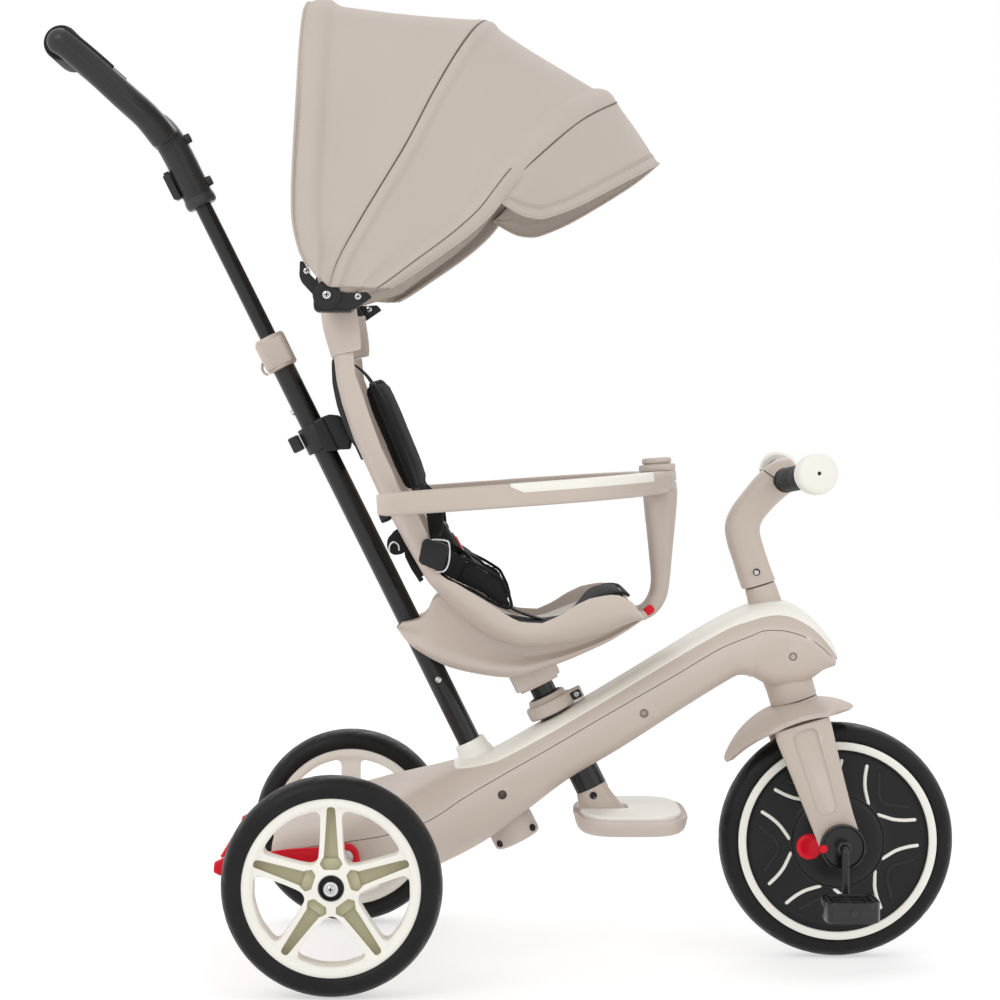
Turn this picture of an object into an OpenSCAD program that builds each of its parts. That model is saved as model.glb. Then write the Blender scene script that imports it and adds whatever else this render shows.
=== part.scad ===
// Children's tricycle with a parent's push bar, a folding canopy and a safety ring.
// +X points forward, +Y to the rider's left and +Z up. The wheels stand on Z = 0.
// The origin is under the middle of the tricycle's length. Side outlines are drawn as
// [forward of the rear axle, height above the ground].

/* [Wheels] */
// Distance between the rear axle and the front axle
wheelbase = 527; // [515:1:540]
// Radius of the front tyre
front_r = 125; // [122:1:128]
// Radius of the rear tyres
rear_r = 110; // [107:1:112]
// Width of each tyre
tyre_w = 44; // [40:1:46]
// Distance between the middles of the rear tyres
track = 445; // [440:1:460]
// Spokes in a rear wheel
rear_spokes = 5; // [4:1:6]
// Raised ribs on one face of the front wheel
front_ribs = 10; // [6:2:14]

/* [Steering] */
// Lean of the steering axis
steer_lean = 16.7; // [15:0.1:18]
// Radius of the fork's leg ends
fork_end_r = 22; // [20:1:24]
// Height of the stem's foot above the front axle, along the steering axis
stem_foot = 268; // [267:1:270]
// Radius of the handlebar tube
handlebar_r = 9; // [8:0.5:10]
// Distance from the middle to the outer face of a bar end
handlebar_half = 196; // [190:1:200]
// Length of each crank arm
crank_len = 55; // [50:1:58]

/* [Push bar] */
// Lean of the push bar and of the seat post
bar_lean = 26.4; // [26:0.1:27]
// Outer radius of the lower tube
bar_lower_r = 12; // [11.5:0.5:12]
// Outer radius of the telescoping upper tube
bar_upper_r = 9; // [8.5:0.5:9]
// Radius of the rubber on the cross grip
grip_r = 18.5; // [17:0.5:19]

/* [Seat] */
// Width of the seat and backrest shell
seat_w = 256; // [250:1:260]
// Radius of the seat post
post_r = 13; // [12:0.5:13]
// Thickness of the shell
shell_t = 7; // [5:0.5:8]
// Middle-to-middle width of the safety ring
ring_w = 306; // [304:1:310]

/* [Canopy] */
// Outer radius of the rear fabric about the hub
hood_rear_r = 324; // [318:1:326]
// Outer radius of the front fabric about the hub
hood_front_r = 350; // [344:1:356]
// Half width of the rear fabric
hood_rear_w = 150; // [146:1:152]
// Half width of the front fabric
hood_front_w = 163; // [162:1:166]
// Angle of the rear bow back from upright
rear_bow_tilt = 3; // [0:1:5]
// Angle of the middle bow forward from upright
mid_bow_tilt = 30; // [28:1:32]
// Angle of the front bow forward from upright
front_bow_tilt = 55; // [52:1:58]

/* [Hidden] */
$fn = 48;

// Colours
beige = "#c7bbaf";
cream = "#e8e5d9";
fabric_tan = "#cdc3b8";
charcoal = "#2e2e2d";
tyre_black = "#262626";
steel = "#b9bcc0";
red = "#cd1423";

// Places along the length
handle_back = 306.5;
rear_x = -(wheelbase + front_r - handle_back) / 2;
steer_bore_r = 10.4;
steerer_r = 10;
axle_r = 5;
crank_y = 88;
pedal_w = 64;
run_gap = 0.4;

// Clear heights on the push-bar axis, measured from the bar's foot
bar_foot = [190, 120.6];
collar_at = 572;
collar_len = 31;
upper_tube_foot = 440;
neck_at = 762;
neck_len = 78;
clip_at = 476;
clip_len = 24;

// Heights on the seat-post axis, measured from the footrest's column
post_foot = [264.1, 184];
clamp_at = 86;
flange_at = 100;
block_at = 124;

// Hub of the canopy
hub = [-8, 698];
hub_pin_r = 5;

// How far a ball stands out of the rods that it joins
joint_bulge = 0.4;

// Seat outlines
shell_back = [[-6, 637], [-3, 611], [3, 586], [14, 553], [27, 525], [42, 492], [67, 444.5], [92, 403],
              [107, 386], [122, 370], [136, 358], [155, 345], [181, 336], [207, 333.5], [230, 335],
              [250, 339], [279, 349], [299, 358.5], [316, 365]];
shell_rim = [[309, 376], [291, 386.5], [272, 386], [252, 377], [237, 369], [211, 363.5], [189, 364.5],
             [179, 369], [158, 383], [140, 394], [123, 405], [107, 430], [93, 457.5], [81.5, 478.5],
             [63.5, 502.5], [58, 517.5], [45.5, 544], [34.5, 574], [26.5, 598.5], [19, 619], [17, 641]];
shell_floor = [[1.5, 660], [1.5, 636], [4, 611], [10, 587], [21, 556], [34, 528], [49, 495], [74, 447.5],
               [98, 408], [113, 390], [127, 375], [140, 363.5], [159, 352], [183, 343.5], [207, 341],
               [229, 343], [247, 348], [262, 358], [272, 370], [278, 378.5], [292, 381], [330, 372],
               [330, 700], [1.5, 700]];

// ---- Helpers ----

module from_rear_axle() {
    translate([rear_x, 0, 0]) children();
}

// A slab cut to a side outline and centred on y
module side_slab(outline, width, y = 0) {
    translate([0, y, 0]) rotate([90, 0, 0])
        linear_extrude(height = width, center = true) polygon(outline);
}

// A round bar across the tricycle
module cross_rod(r, length, at, y = 0) {
    translate([at[0], y, at[1]]) rotate([90, 0, 0]) cylinder(r = r, h = length, center = true);
}

// A round rod between two points
module rod(a, b, r) {
    d = b - a;
    translate(a) rotate([0, acos(d[2] / norm(d)), atan2(d[1], d[0])]) cylinder(r = r, h = norm(d));
}

module tube(r_out, r_in, h) {
    difference() {
        cylinder(r = r_out, h = h);
        translate([0, 0, -1]) cylinder(r = r_in, h = h + 2);
    }
}

module both_sides() {
    children();
    mirror([0, 1, 0]) children();
}

// Frame of the push bar: Z runs up the bar from its foot
module on_bar() {
    from_rear_axle() translate([bar_foot[0], 0, bar_foot[1]]) rotate([0, -bar_lean, 0]) children();
}

// Frame of the seat post: Z runs up the post
module on_post() {
    from_rear_axle() translate([post_foot[0], 0, post_foot[1]]) rotate([0, -bar_lean, 0]) children();
}

// Frame of the steering axis: Z runs up the axis from the front axle
module on_steering() {
    from_rear_axle() translate([wheelbase, 0, front_r]) rotate([0, -steer_lean, 0]) children();
}

// A solid of revolution about a wheel's axle
module on_axle(x, z, y) {
    from_rear_axle() translate([x, y, z]) rotate([90, 0, 0]) children();
}

function arc_points(centre, r, from, to, steps) =
    [for (i = [0 : steps]) let (a = from + (to - from) * i / steps)
        [centre[0] + r * cos(a), centre[1] + r * sin(a)]];

// An oval whose sides are squarer than an ellipse
function squircle(half_x, half_y, power, steps) =
    [for (i = [0 : steps - 1]) let (a = 360 * i / steps, c = cos(a), s = sin(a))
        [half_x * sign(c) * pow(abs(c), power), half_y * sign(s) * pow(abs(s), power)]];

// ---- Frame ----

module frame_envelope() {
    beam = [[40, 184], [113, 206], [160, 219], [262, 276], [338, 322], [384, 350.5], [430, 374],
            [450, 378], [470, 378], [484, 374], [504, 358], [520, 339], [529, 320], [526, 309],
            [505, 301], [470, 282], [447, 290], [438, 300], [424, 302], [407, 294], [352, 259],
            [300, 225], [268, 212], [228, 180], [161, 131], [107, 106], [40, 90]];
    middle = [[-60, 112], [-52, 148], [-20, 170], [46, 187], [113, 206], [161, 200], [161, 131],
              [107, 106], [40, 86], [-30, 88]];
    side_slab(beam, 84);
    hull() {
        side_slab(middle, 84);
        both_sides() side_slab(rear_end_outline(0), 10, 160);
    }
    translate([-rear_x, 0, 0]) on_steering() {
        translate([0, 0, 158.5]) cylinder(r = 26, h = 92);
        translate([0, 0, 240]) cylinder(r = 20, h = 25);
    }
}

function rear_end_outline(inset) =
    [[-66 + inset, 118], [-66 + inset, 146], [-50, 160 - inset], [10, 160 - inset],
     [60, 152 - inset], [80 - inset, 132], [78 - inset, 108], [50, 90 + inset],
     [29, 83 + inset], [-32, 86 + inset], [-54, 100 + inset]];

module frame_hollow() {
    beam = [[50, 98], [105, 114], [158, 139], [227, 187], [266, 219], [298, 232], [398, 298],
            [412, 316], [412, 340], [394, 337], [340, 306], [273, 265], [208, 228], [161, 204],
            [113, 198], [60, 182]];
    middle = [[-54, 114], [-47, 145], [-18, 165], [48, 181], [110, 198], [155, 194], [155, 137],
              [107, 113], [40, 92], [-28, 94]];
    side_slab(beam, 76);
    hull() {
        side_slab(middle, 76);
        both_sides() side_slab(rear_end_outline(4), 10, 151);
    }
}

// Holes for the tubes, the axle, the steering and the side screws
module frame_holes() {
    on_bar() translate([0, 0, -60]) cylinder(r = bar_lower_r, h = 220);
    on_post() translate([0, 0, -40]) cylinder(r = 17, h = 160);
    on_steering() translate([0, 0, 140]) cylinder(r = 14, h = 150);
    from_rear_axle() cross_rod(6, 400, [0, rear_r]);
    from_rear_axle() both_sides() for (p = side_screws) cross_rod(8, 8, p, -42);
    on_bar() translate([0, 0, 4]) cylinder(r = 24, h = 24);
    on_bar() translate([0, 0, 88]) cylinder(r = 17, h = 60);
    from_rear_axle() cross_rod(4.3, 350, brake_pivot);
}

side_screws = [[170.5, 178], [320, 263], [478, 322]];
brake_pivot = [12, 131.5];
seam = [[-120, 126], [16, 146], [86, 155], [148, 185], [273, 256.5], [353, 303], [393, 327],
        [423, 341], [460, 350], [487, 345], [508, 333], [560, 300]];
trim_line = [[126, 196], [150, 205], [161, 209], [185, 222], [208, 234], [273, 271], [340, 312],
             [394, 343], [421, 357], [461, 364], [485, 359], [507, 343], [530, 322], [560, 300]];

// The top of the beam, which the trim fills
module trim_space() {
    intersection() {
        above(trim_line, 500);
        side_slab([[126, 150], [126, 500], [560, 500], [560, 150]], 84);
    }
}

module above(line, top) {
    side_slab(concat(line, [[line[len(line) - 1][0], top], [line[0][0], top]]), 500);
}

module below(line, bottom) {
    side_slab(concat(line, [[line[len(line) - 1][0], bottom], [line[0][0], bottom]]), 500);
}

module frame_lower_shell() {
    color(beige) difference() {
        intersection() {
            from_rear_axle() frame_envelope();
            from_rear_axle() below(seam, 0);
        }
        from_rear_axle() frame_hollow();
        frame_holes();
    }
}

module frame_upper_shell() {
    color(beige) difference() {
        intersection() {
            from_rear_axle() frame_envelope();
            from_rear_axle() above(seam, 500);
        }
        from_rear_axle() trim_space();
        from_rear_axle() frame_hollow();
        frame_holes();
    }
}

module frame_top_trim() {
    color(cream) {
        difference() {
            intersection() {
                from_rear_axle() frame_envelope();
                from_rear_axle() trim_space();
            }
            frame_holes();
        }
        on_bar() translate([0, 0, 88]) tube(17, bar_lower_r, 32);
    }
}

// Side screws, boss screws, rear hub bolts and the brake's pivot pins
module frame_fasteners() {
    color(steel) {
        from_rear_axle() both_sides() for (p = side_screws) cross_rod(4, 3, p, -39.5);
        on_axle(0, rear_r, 0) both_ends(track / 2 + tyre_w / 2 + 1) cylinder(r = 9, h = 4);
        on_bar() for (x = [-17, 17]) translate([x, 0, 2]) cylinder(r = 3.5, h = 2);
        from_rear_axle() both_sides() cross_rod(4.3, 21, brake_pivot, -167);
    }
}

module both_ends(y) {
    translate([0, 0, y]) children();
    mirror([0, 0, 1]) translate([0, 0, y]) children();
}

module head_bushes() {
    color(charcoal) on_steering() {
        translate([0, 0, 158.5]) tube(14, steer_bore_r, 20);
        translate([0, 0, 244]) tube(14, steer_bore_r, 21);
    }
}

module seat_tube() {
    color(charcoal) on_post() translate([0, 0, -10]) tube(17, 13.5, 96);
}

module seat_clamp() {
    color(beige) on_post() difference() {
        union() {
            translate([0, 0, clamp_at]) cylinder(r = 26, h = 14);
            translate([20, -13, clamp_at]) cube([18, 26, 14]);
            translate([0, 0, flange_at]) cylinder(r = 20, h = 5);
        }
        translate([0, 0, clamp_at - 1]) cylinder(r = 13.4, h = 30);
        translate([10, -1.5, clamp_at - 1]) cube([40, 3, 30]);
    }
}

module bar_boss() {
    color(beige) on_bar() difference() {
        translate([0, 0, 4]) cylinder(r = 24, h = 24);
        translate([0, 0, 10]) cylinder(r = bar_lower_r, h = 30);
    }
}

module rear_axle() {
    color(steel) from_rear_axle() cross_rod(6, track + tyre_w + 2, [0, rear_r]);
}

module brake_pedal() {
    arm = [[12, 144.5], [-12, 144.5], [-61, 138], [-100, 131], [-118, 126], [-120, 115],
           [-84, 111], [-50, 114], [-30, 119], [-8, 121], [12, 118.6]];
    bar = [[-118, 126], [-120, 115], [-98, 112], [-94, 131], [-100, 131]];
    color(red) from_rear_axle() {
        both_sides() difference() {
            union() {
                side_slab(arm, 8, -172);
                cross_rod(13, 8, brake_pivot, -172);
            }
            cross_rod(4.4, 20, brake_pivot, -172);
        }
        side_slab(bar, 336);
    }
}

// ---- Wheels ----

module rear_tyre(side) {
    color(tyre_black) on_axle(0, rear_r, side * track / 2) rotate_extrude() difference() {
        union() {
            translate([rear_r - 21, -tyre_w / 2 + 3]) square([10, tyre_w - 6]);
            translate([rear_r - 14, -tyre_w / 2]) square([6, tyre_w]);
            intersection() {
                translate([rear_r - 30, -tyre_w / 2]) square([30, tyre_w]);
                translate([rear_r - 42, 0]) circle(r = 42, $fn = 96);
            }
        }
        translate([0, -tyre_w]) square([rear_r - 21, tyre_w * 2]);
    }
}

module rear_rim(side) {
    outer = rear_r - 21;
    color(cream) on_axle(0, rear_r, side * track / 2) difference() {
        union() {
            rotate_extrude() translate([outer - 10, -19]) square([10, 38]);
            translate([0, 0, -19]) cylinder(r = 20, h = 38);
            for (k = [0 : rear_spokes - 1]) rotate([0, 0, 90 + k * 360 / rear_spokes])
                translate([0, 0, -14]) linear_extrude(height = 28)
                    polygon([[14, -11], [outer - 4, -17], [outer - 4, 17], [14, 11]]);
        }
        translate([0, 0, -40]) cylinder(r = 6.05, h = 80);
    }
}

module front_tyre() {
    color(tyre_black) on_axle(wheelbase, front_r, 0) rotate_extrude() difference() {
        intersection() {
            translate([front_r - 30, -tyre_w / 2]) square([30, tyre_w]);
            translate([front_r - 44, 0]) circle(r = 44, $fn = 96);
        }
        translate([0, -tyre_w]) square([front_r - 19.5, tyre_w * 2]);
    }
}

// Two moulded halves that meet in the middle of the wheel
module front_discs() {
    edge = front_r - 19.5;
    color(charcoal) on_axle(wheelbase, front_r, 0) difference() {
        both_ends(0) rotate_extrude() polygon([
            [0, 0], [edge, 0], [edge, 20], [96, 20], [92, 16], [60, 18], [50, 24], [46, 27],
            [20, 28], [0, 28]]);
        translate([0, 0, -60]) cylinder(r = axle_r + 0.05, h = 120);
        both_ends(4) translate([-31, -5, 0]) cylinder(r = 13.4, h = 40);
        both_ends(12) rotate_extrude() translate([97, 0]) square([8.5, 20]);
        both_ends(14) rib_shapes(20);
    }
}

// Curved ribs in mirrored pairs round the disc
module rib_shapes(h) {
    pairs = front_ribs / 2;
    for (k = [0 : pairs - 1]) rotate([0, 0, -5.75 + k * 360 / pairs]) for (s = [-1, 1])
        linear_extrude(height = h) polygon([
            [52 * cos(26.4), s * 52 * sin(26.4)], [88 * cos(9), s * 88 * sin(9)],
            [88 * cos(6.2), s * 88 * sin(6.2)], [52 * cos(21.5), s * 52 * sin(21.5)]]);
}

module front_inlays() {
    color(cream) on_axle(wheelbase, front_r, 0) both_ends(0) {
        translate([0, 0, 12]) rotate_extrude() translate([97, 0]) square([8.5, 10]);
        translate([0, 0, 14]) intersection() {
            rib_shapes(12);
            rotate_extrude() polygon([[40, 0], [91, 0], [91, 5], [60, 7], [50, 11], [40, 11]]);
        }
    }
}

module clutch_button() {
    color(red) on_axle(wheelbase, front_r, 0) translate([-31, -5, 8.5]) cylinder(r = 13, h = 22);
}

// One bent steel rod: axle, two arms and two pedal spindles
module crank() {
    color(charcoal) on_axle(wheelbase, front_r, 0) {
        translate([0, 0, -crank_y]) cylinder(r = axle_r, h = 2 * crank_y);
        for (s = [-1, 1]) {
            translate([0, 0, s * crank_y]) sphere(r = axle_r);
            translate([0, 0, s * crank_y]) rotate([s * 90, 0, 0]) cylinder(r = 4, h = crank_len);
            translate([0, -s * crank_len, s * crank_y]) sphere(r = 4);
            translate([0, -s * crank_len, s * (crank_y + pedal_w / 2 + 3)])
                cylinder(r = 4, h = pedal_w + 6, center = true);
            translate([0, -s * crank_len, s * (crank_y + pedal_w + 6)])
                cylinder(r = 6, h = 2.6, center = true);
        }
    }
}

module pedal(side) {
    z = front_r + side * crank_len;
    color(charcoal) from_rear_axle() translate([wheelbase, side * (crank_y + 4.5 + pedal_w / 2), z])
        difference() {
            rotate([90, 0, 0]) linear_extrude(height = pedal_w - 1, center = true)
                polygon(squircle(30, 9, 0.6, 36));
            rotate([90, 0, 0]) cylinder(r = 4.05, h = pedal_w + 2, center = true);
        }
}

// ---- Fork and handlebar ----

module fork() {
    leg = [[-34, 134], [26, 134], [24, 80], [20, 16], [0, -4], [-22, 14], [-30, 80]];
    crown = [[-26, 128.5], [-26, 134], [26, 134], [26, 128.5]];
    color(beige) on_steering() difference() {
        union() {
            both_sides() side_slab(leg, 14, -53);
            both_sides() cross_rod(fork_end_r, 14, [0, 0], -53);
            side_slab(crown, 120);
            translate([0, 0, 128.5]) cylinder(r = 20, h = 29);
            translate([0, 0, 128.5]) cylinder(r = steerer_r, h = 158);
        }
        cross_rod(axle_r + 0.05, 200, [0, 0]);
    }
}

module mudguard() {
    crown_r = 154;
    edge_r = 140;
    half_w = 34;
    t = 3;
    arch_r = (half_w * half_w + (crown_r - edge_r) * (crown_r - edge_r)) / (2 * (crown_r - edge_r));
    color(beige) on_steering() difference() {
        rotate([90, 0, 0]) rotate([0, 0, 67]) rotate_extrude(angle = 60) intersection() {
            difference() {
                translate([crown_r - arch_r, 0]) circle(r = arch_r);
                translate([crown_r - arch_r, 0]) circle(r = arch_r - t);
            }
            translate([edge_r - t, -half_w]) square([30, 2 * half_w]);
        }
        translate([0, 0, 100]) cylinder(r = 20, h = 100);
    }
}

module fork_caps() {
    color(charcoal) on_axle(wheelbase, front_r, 0) both_ends(60) tube(24, axle_r + 0.3, 10);
}

module stem() {
    column = [[-19, stem_foot], [-20, 345], [-14, 362], [0, 375], [30, 395], [56, 406], [70, 400],
              [72, 380], [66, 369], [50, 365], [30, 354], [18, 342], [16, 320], [17, stem_foot]];
    color(beige) on_steering() difference() {
        side_slab(column, 40);
        translate([0, 0, 200]) cylinder(r = steerer_r, h = 86.5);
        cross_rod(handlebar_r, 60, [52, 384]);
    }
}

// Handlebar tube, swept forward and up towards its ends
module handlebar() {
    bend_y = 30;
    color(charcoal) on_steering() {
        cross_rod(handlebar_r, 2 * bend_y, [52, 384]);
        both_sides() {
            translate([52, -bend_y, 384]) sphere(r = handlebar_r + joint_bulge);
            rod([52, -bend_y, 384], [73, -handlebar_half + 8, 388], handlebar_r);
        }
    }
}

function along_bar_side(f) = [52, -30, 384] + f * ([73, -handlebar_half + 8, 388] - [52, -30, 384]);

module grips() {
    color(charcoal) on_steering() both_sides() difference() {
        rod(along_bar_side(0.12), along_bar_side(0.85), 12.5);
        rod(along_bar_side(0), along_bar_side(1), handlebar_r);
    }
}

module bar_ends() {
    color(cream) on_steering() both_sides() difference() {
        union() {
            rod(along_bar_side(0.85), along_bar_side(1.04), 18);
            rod(along_bar_side(0.88), along_bar_side(1.0), 21.5);
        }
        rod(along_bar_side(0.5), along_bar_side(1), handlebar_r);
    }
}

// ---- Seat ----

module seat_post() {
    color(charcoal) on_post() translate([0, 0, 10]) cylinder(r = post_r, h = 118);
}

module seat_base() {
    outline = [[59, 353], [85, 361], [92, 380], [96, 396], [107, 385], [122, 369], [136, 357],
               [155, 344], [181, 335], [207, 332.5], [230, 334], [250, 338], [279, 348], [299, 357.5],
               [316, 364], [320, 361], [282, 338], [242, 320], [218, 311], [194, 302], [170, 301],
               [142, 305], [110, 313], [92, 322], [72, 335]];
    color(beige) difference() {
        union() {
            from_rear_axle() side_slab(outline, 150);
            on_post() translate([-26, -30, block_at]) cube([52, 60, 24]);
        }
        on_bar() translate([0, 0, 150]) cylinder(r = bar_lower_r + run_gap, h = 250);
        on_post() cylinder(r = post_r, h = 128);
        from_rear_axle() side_slab([[60, 375], [60, 300], [58, 300], [40, 375]], 40);
        from_rear_axle() both_sides() side_slab([[120, 362], [155, 338], [200, 327], [240, 330],
            [280, 344], [280, 342], [240, 324], [194, 308], [142, 311], [112, 322], [100, 340]], 40, -50);
    }
}

module seat_shell() {
    color(beige) from_rear_axle() difference() {
        side_slab(concat(shell_back, shell_rim), seat_w);
        side_slab(shell_floor, seat_w - 2 * shell_t);
    }
}

module seat_insert() {
    color(cream) from_rear_axle()
        side_slab([[183, 344], [207, 341.5], [229, 343.5], [246, 348.5], [246, 352], [229, 347],
            [207, 345], [183, 347.5]], seat_w - 2 * shell_t - 1);
}

module seat_pad() {
    color(charcoal) from_rear_axle()
        side_slab([[118, 386], [131, 374.5], [143, 366], [160, 356], [183, 348.5], [207, 346],
            [229, 348], [246, 353], [258, 360], [268, 371.5], [276, 381], [292, 384], [300, 382.5],
            [303, 388], [292, 392], [272, 389], [250, 373], [229, 361], [207, 358], [184, 360],
            [160, 368], [138, 382], [124, 394]], 190);
}

module harness_straps() {
    back = [[9, 630], [11, 612], [17, 588], [28, 558], [41, 530], [56, 498], [81, 451], [97, 425],
            [99, 427], [83, 453], [58, 500], [43, 532], [30, 560], [19, 590], [13, 613], [11, 631]];
    color(charcoal) from_rear_axle() both_sides() side_slab(back, 24, -44);
}

module harness_pads() {
    shoulder = [[15, 612], [21, 590], [32, 560], [45, 532], [60, 501], [70, 482], [82, 488], [72, 508],
                [57, 540], [44, 568], [33, 594], [27, 614]];
    waist = [[112, 408], [150, 384], [170, 376], [176, 388], [154, 397], [120, 420]];
    color(charcoal) from_rear_axle() {
        both_sides() side_slab(shoulder, 44, -44);
        both_sides() side_slab(waist, 12, -108);
    }
}

module buckle() {
    color(charcoal) from_rear_axle() translate([118, 0, 436]) rotate([0, -28, 0]) difference() {
        cube([14, 60, 52], center = true);
        translate([7, 0, 0]) rotate([0, 90, 0]) cylinder(r = 11, h = 12, center = true);
    }
}

module buckle_button() {
    color(red) from_rear_axle() translate([118, 0, 436]) rotate([0, -28, 0])
        translate([4.2, 0, 0]) rotate([0, 90, 0]) cylinder(r = 10.5, h = 6);
}

module bar_clip() {
    color(charcoal) {
        on_bar() translate([0, 0, clip_at]) tube(19, bar_lower_r + run_gap, clip_len);
        on_bar() difference() {
            translate([17, -16, clip_at]) cube([17, 32, clip_len]);
            translate([24, -20, clip_at - 1]) cube([8, 40, 8]);
        }
        from_rear_axle() side_slab([[-9.5, 637], [-6.5, 611], [-0.5, 585], [10.5, 552], [23.5, 524],
            [38.5, 491.5], [31, 488], [16, 520.5], [3, 548], [-8, 582], [-13.5, 610], [-16.5, 637]], 70);
    }
}

module clip_lever() {
    color(charcoal) on_bar() translate([0, 0, clip_at]) {
        translate([-33, -14, -2]) cube([12, 28, 18]);
        translate([-22.5, 0, 14]) rotate([90, 0, 0]) cylinder(r = 2.9, h = 28, center = true);
    }
}

// ---- Safety ring ----

post_at = [337, 0];
ring_z = 506;
arm_h = 24;
arm_w = 16;

module safety_post() {
    color(beige) from_rear_axle() {
        difference() {
            union() {
                translate([post_at[0], 0, ring_z]) rotate([0, -4, 0]) translate([0, 0, -14])
                    cylinder(r = 11, h = 30);
                translate([post_at[0] + 0.5, 0, 412]) cylinder(r1 = 15, r2 = 19.7, h = ring_z - 14 - 412);
                translate([post_at[0] - 3, 0, 380]) cylinder(r1 = 12, r2 = 15, h = 32);
                side_slab([[311, 377.5], [318, 367.5], [331, 366], [345, 378], [348, 384], [325, 386]], 24);
                translate([post_at[0] - 1.5, 0, ring_z + 14.5]) cylinder(r = 18.5, h = 14);
            }
            translate([333, 0, 370]) rotate([0, 125, 0]) translate([0, 0, -4]) cylinder(r = 6.4, h = 30);
        }
    }
}

module safety_button() {
    color(red) from_rear_axle() translate([333, 0, 370]) rotate([0, 125, 0]) translate([0, 0, -0.5])
        cylinder(r = 6, h = 8);
}

// One half of the ring: a straight side, a quarter turn and an eye round the post
module safety_arm(side) {
    bend_r = ring_w / 2;
    arm_straight = 142;
    eye_z = side > 0 ? 0.3 : -arm_h / 2;
    color(beige) from_rear_axle() translate([post_at[0], 0, ring_z]) rotate([0, -4, 0])
        scale([1, side, 1]) difference() {
            union() {
                translate([-bend_r, 0, -arm_h / 2]) linear_extrude(height = arm_h) polygon(concat(
                    arc_points([0, 0], bend_r + arm_w / 2, 3, 90, 24),
                    arc_points([-arm_straight, bend_r], arm_w / 2, 90, 270, 12),
                    arc_points([0, 0], bend_r - arm_w / 2, 90, 3, 24)));
                translate([0, 0, eye_z]) cylinder(r = 19.7, h = arm_h / 2 - 0.3);
            }
            translate([0, 0, -40]) cylinder(r = 11.05, h = 80);
            translate([0, 0, side > 0 ? -arm_h : 0]) cylinder(r = 20.3, h = arm_h);
        }
}

// ---- Canopy ----

module canopy_mount() {
    outline = [[-19, 690], [-19, 668], [-8, 641], [0, 638], [16.5, 642], [24, 641], [22, 660], [20, 690]];
    color(beige) from_rear_axle() difference() {
        side_slab(outline, 236);
        side_slab([[-6, 680], [-4, 652], [12, 652], [10, 680]], 220);
        both_sides() side_slab([[-40, 700], [-40, 676], [40, 676], [40, 700]], 60, -60);
    }
}

// Plates on the mount's ends that carry the hub pins
module canopy_brackets() {
    plate = [[-19, 672], [20, 672], [20, 690], [8, 712], [-24, 712], [-30, 700]];
    color(charcoal) from_rear_axle() both_sides() {
        side_slab(plate, 6, -121);
        cross_rod(hub_pin_r, 46, hub, -141);
        cross_rod(12, 3, hub, -165.5);
    }
}

// A U-shaped flat bow that turns about the hub pins
module bow(radius, half_w, tilt) {
    t = 6;
    corner = 60;
    color(charcoal) from_rear_axle() translate([hub[0], 0, hub[1]]) rotate([0, tilt, 0]) difference() {
        union() {
            rotate([0, -90, 0]) linear_extrude(height = t, center = true) difference() {
                cover_section(radius, half_w, corner, 6);
                cover_section(radius - t, half_w - t, corner - t, 0);
            }
            both_sides() translate([0, -half_w + t / 2, 0]) rotate([90, 0, 0])
                cylinder(r = 11, h = t, center = true);
        }
        rotate([90, 0, 0]) cylinder(r = hub_pin_r + 0.3, h = 2 * half_w + 30, center = true);
    }
}

// Fabric stretched round the hub between two bow angles
module cover(radius, half_w, from, to, start = 70) {
    t = 2.5;
    corner = 62;
    color(fabric_tan) from_rear_axle() translate([hub[0], 0, hub[1]]) rotate([0, from, 0])
        rotate([90, 0, 0]) rotate([0, 0, 90 - (to - from)]) rotate_extrude(angle = to - from) difference() {
            cover_section(radius, half_w, corner, start);
            cover_section(radius - t, half_w - t, corner - t, start - 1);
        }
}

module cover_section(radius, half_w, corner, start) {
    translate([start, -half_w]) square([radius - corner - start, 2 * half_w]);
    translate([start, -half_w + corner]) square([radius - start, 2 * (half_w - corner)]);
    for (s = [-1, 1]) translate([radius - corner, s * (half_w - corner)]) circle(r = corner, $fn = 64);
}

// The brim, with the rod that it tilts about along its rear edge
module canopy_visor() {
    cover(hood_front_r, hood_front_w, front_bow_tilt + 2.6, front_bow_tilt + 13, 220);
    color(fabric_tan) from_rear_axle() translate([hub[0], 0, hub[1]]) rotate([0, front_bow_tilt + 2.9, 0])
        cross_rod(1.6, 200, [0, hood_front_r - 1.3]);
}

// ---- Push bar ----

module bar_lower_tube() {
    color(charcoal) on_bar() translate([0, 0, 10]) tube(bar_lower_r, bar_upper_r + 0.7, collar_at + 14 - 10);
}

module bar_upper_tube() {
    color(charcoal) on_bar() translate([0, 0, upper_tube_foot]) cylinder(r = bar_upper_r, h = neck_at + 50 - upper_tube_foot);
}

module bar_collar() {
    color(beige) on_bar() {
        difference() {
            translate([0, 0, collar_at]) cylinder(r = 16, h = collar_len);
            translate([0, 0, collar_at - 1]) cylinder(r = bar_lower_r, h = 15);
            translate([0, 0, collar_at]) cylinder(r = bar_upper_r + 0.06, h = 50);
        }
        difference() {
            translate([-26, -4, collar_at]) cube([12, 8, 16]);
            translate([-22, -5, collar_at + 4]) cube([5, 10, 20]);
            translate([0, 0, collar_at]) cylinder(r = 15, h = 60);
        }
    }
}

handle_back_point = [-52.7, 0, 969];
handle_half = 62;

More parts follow.
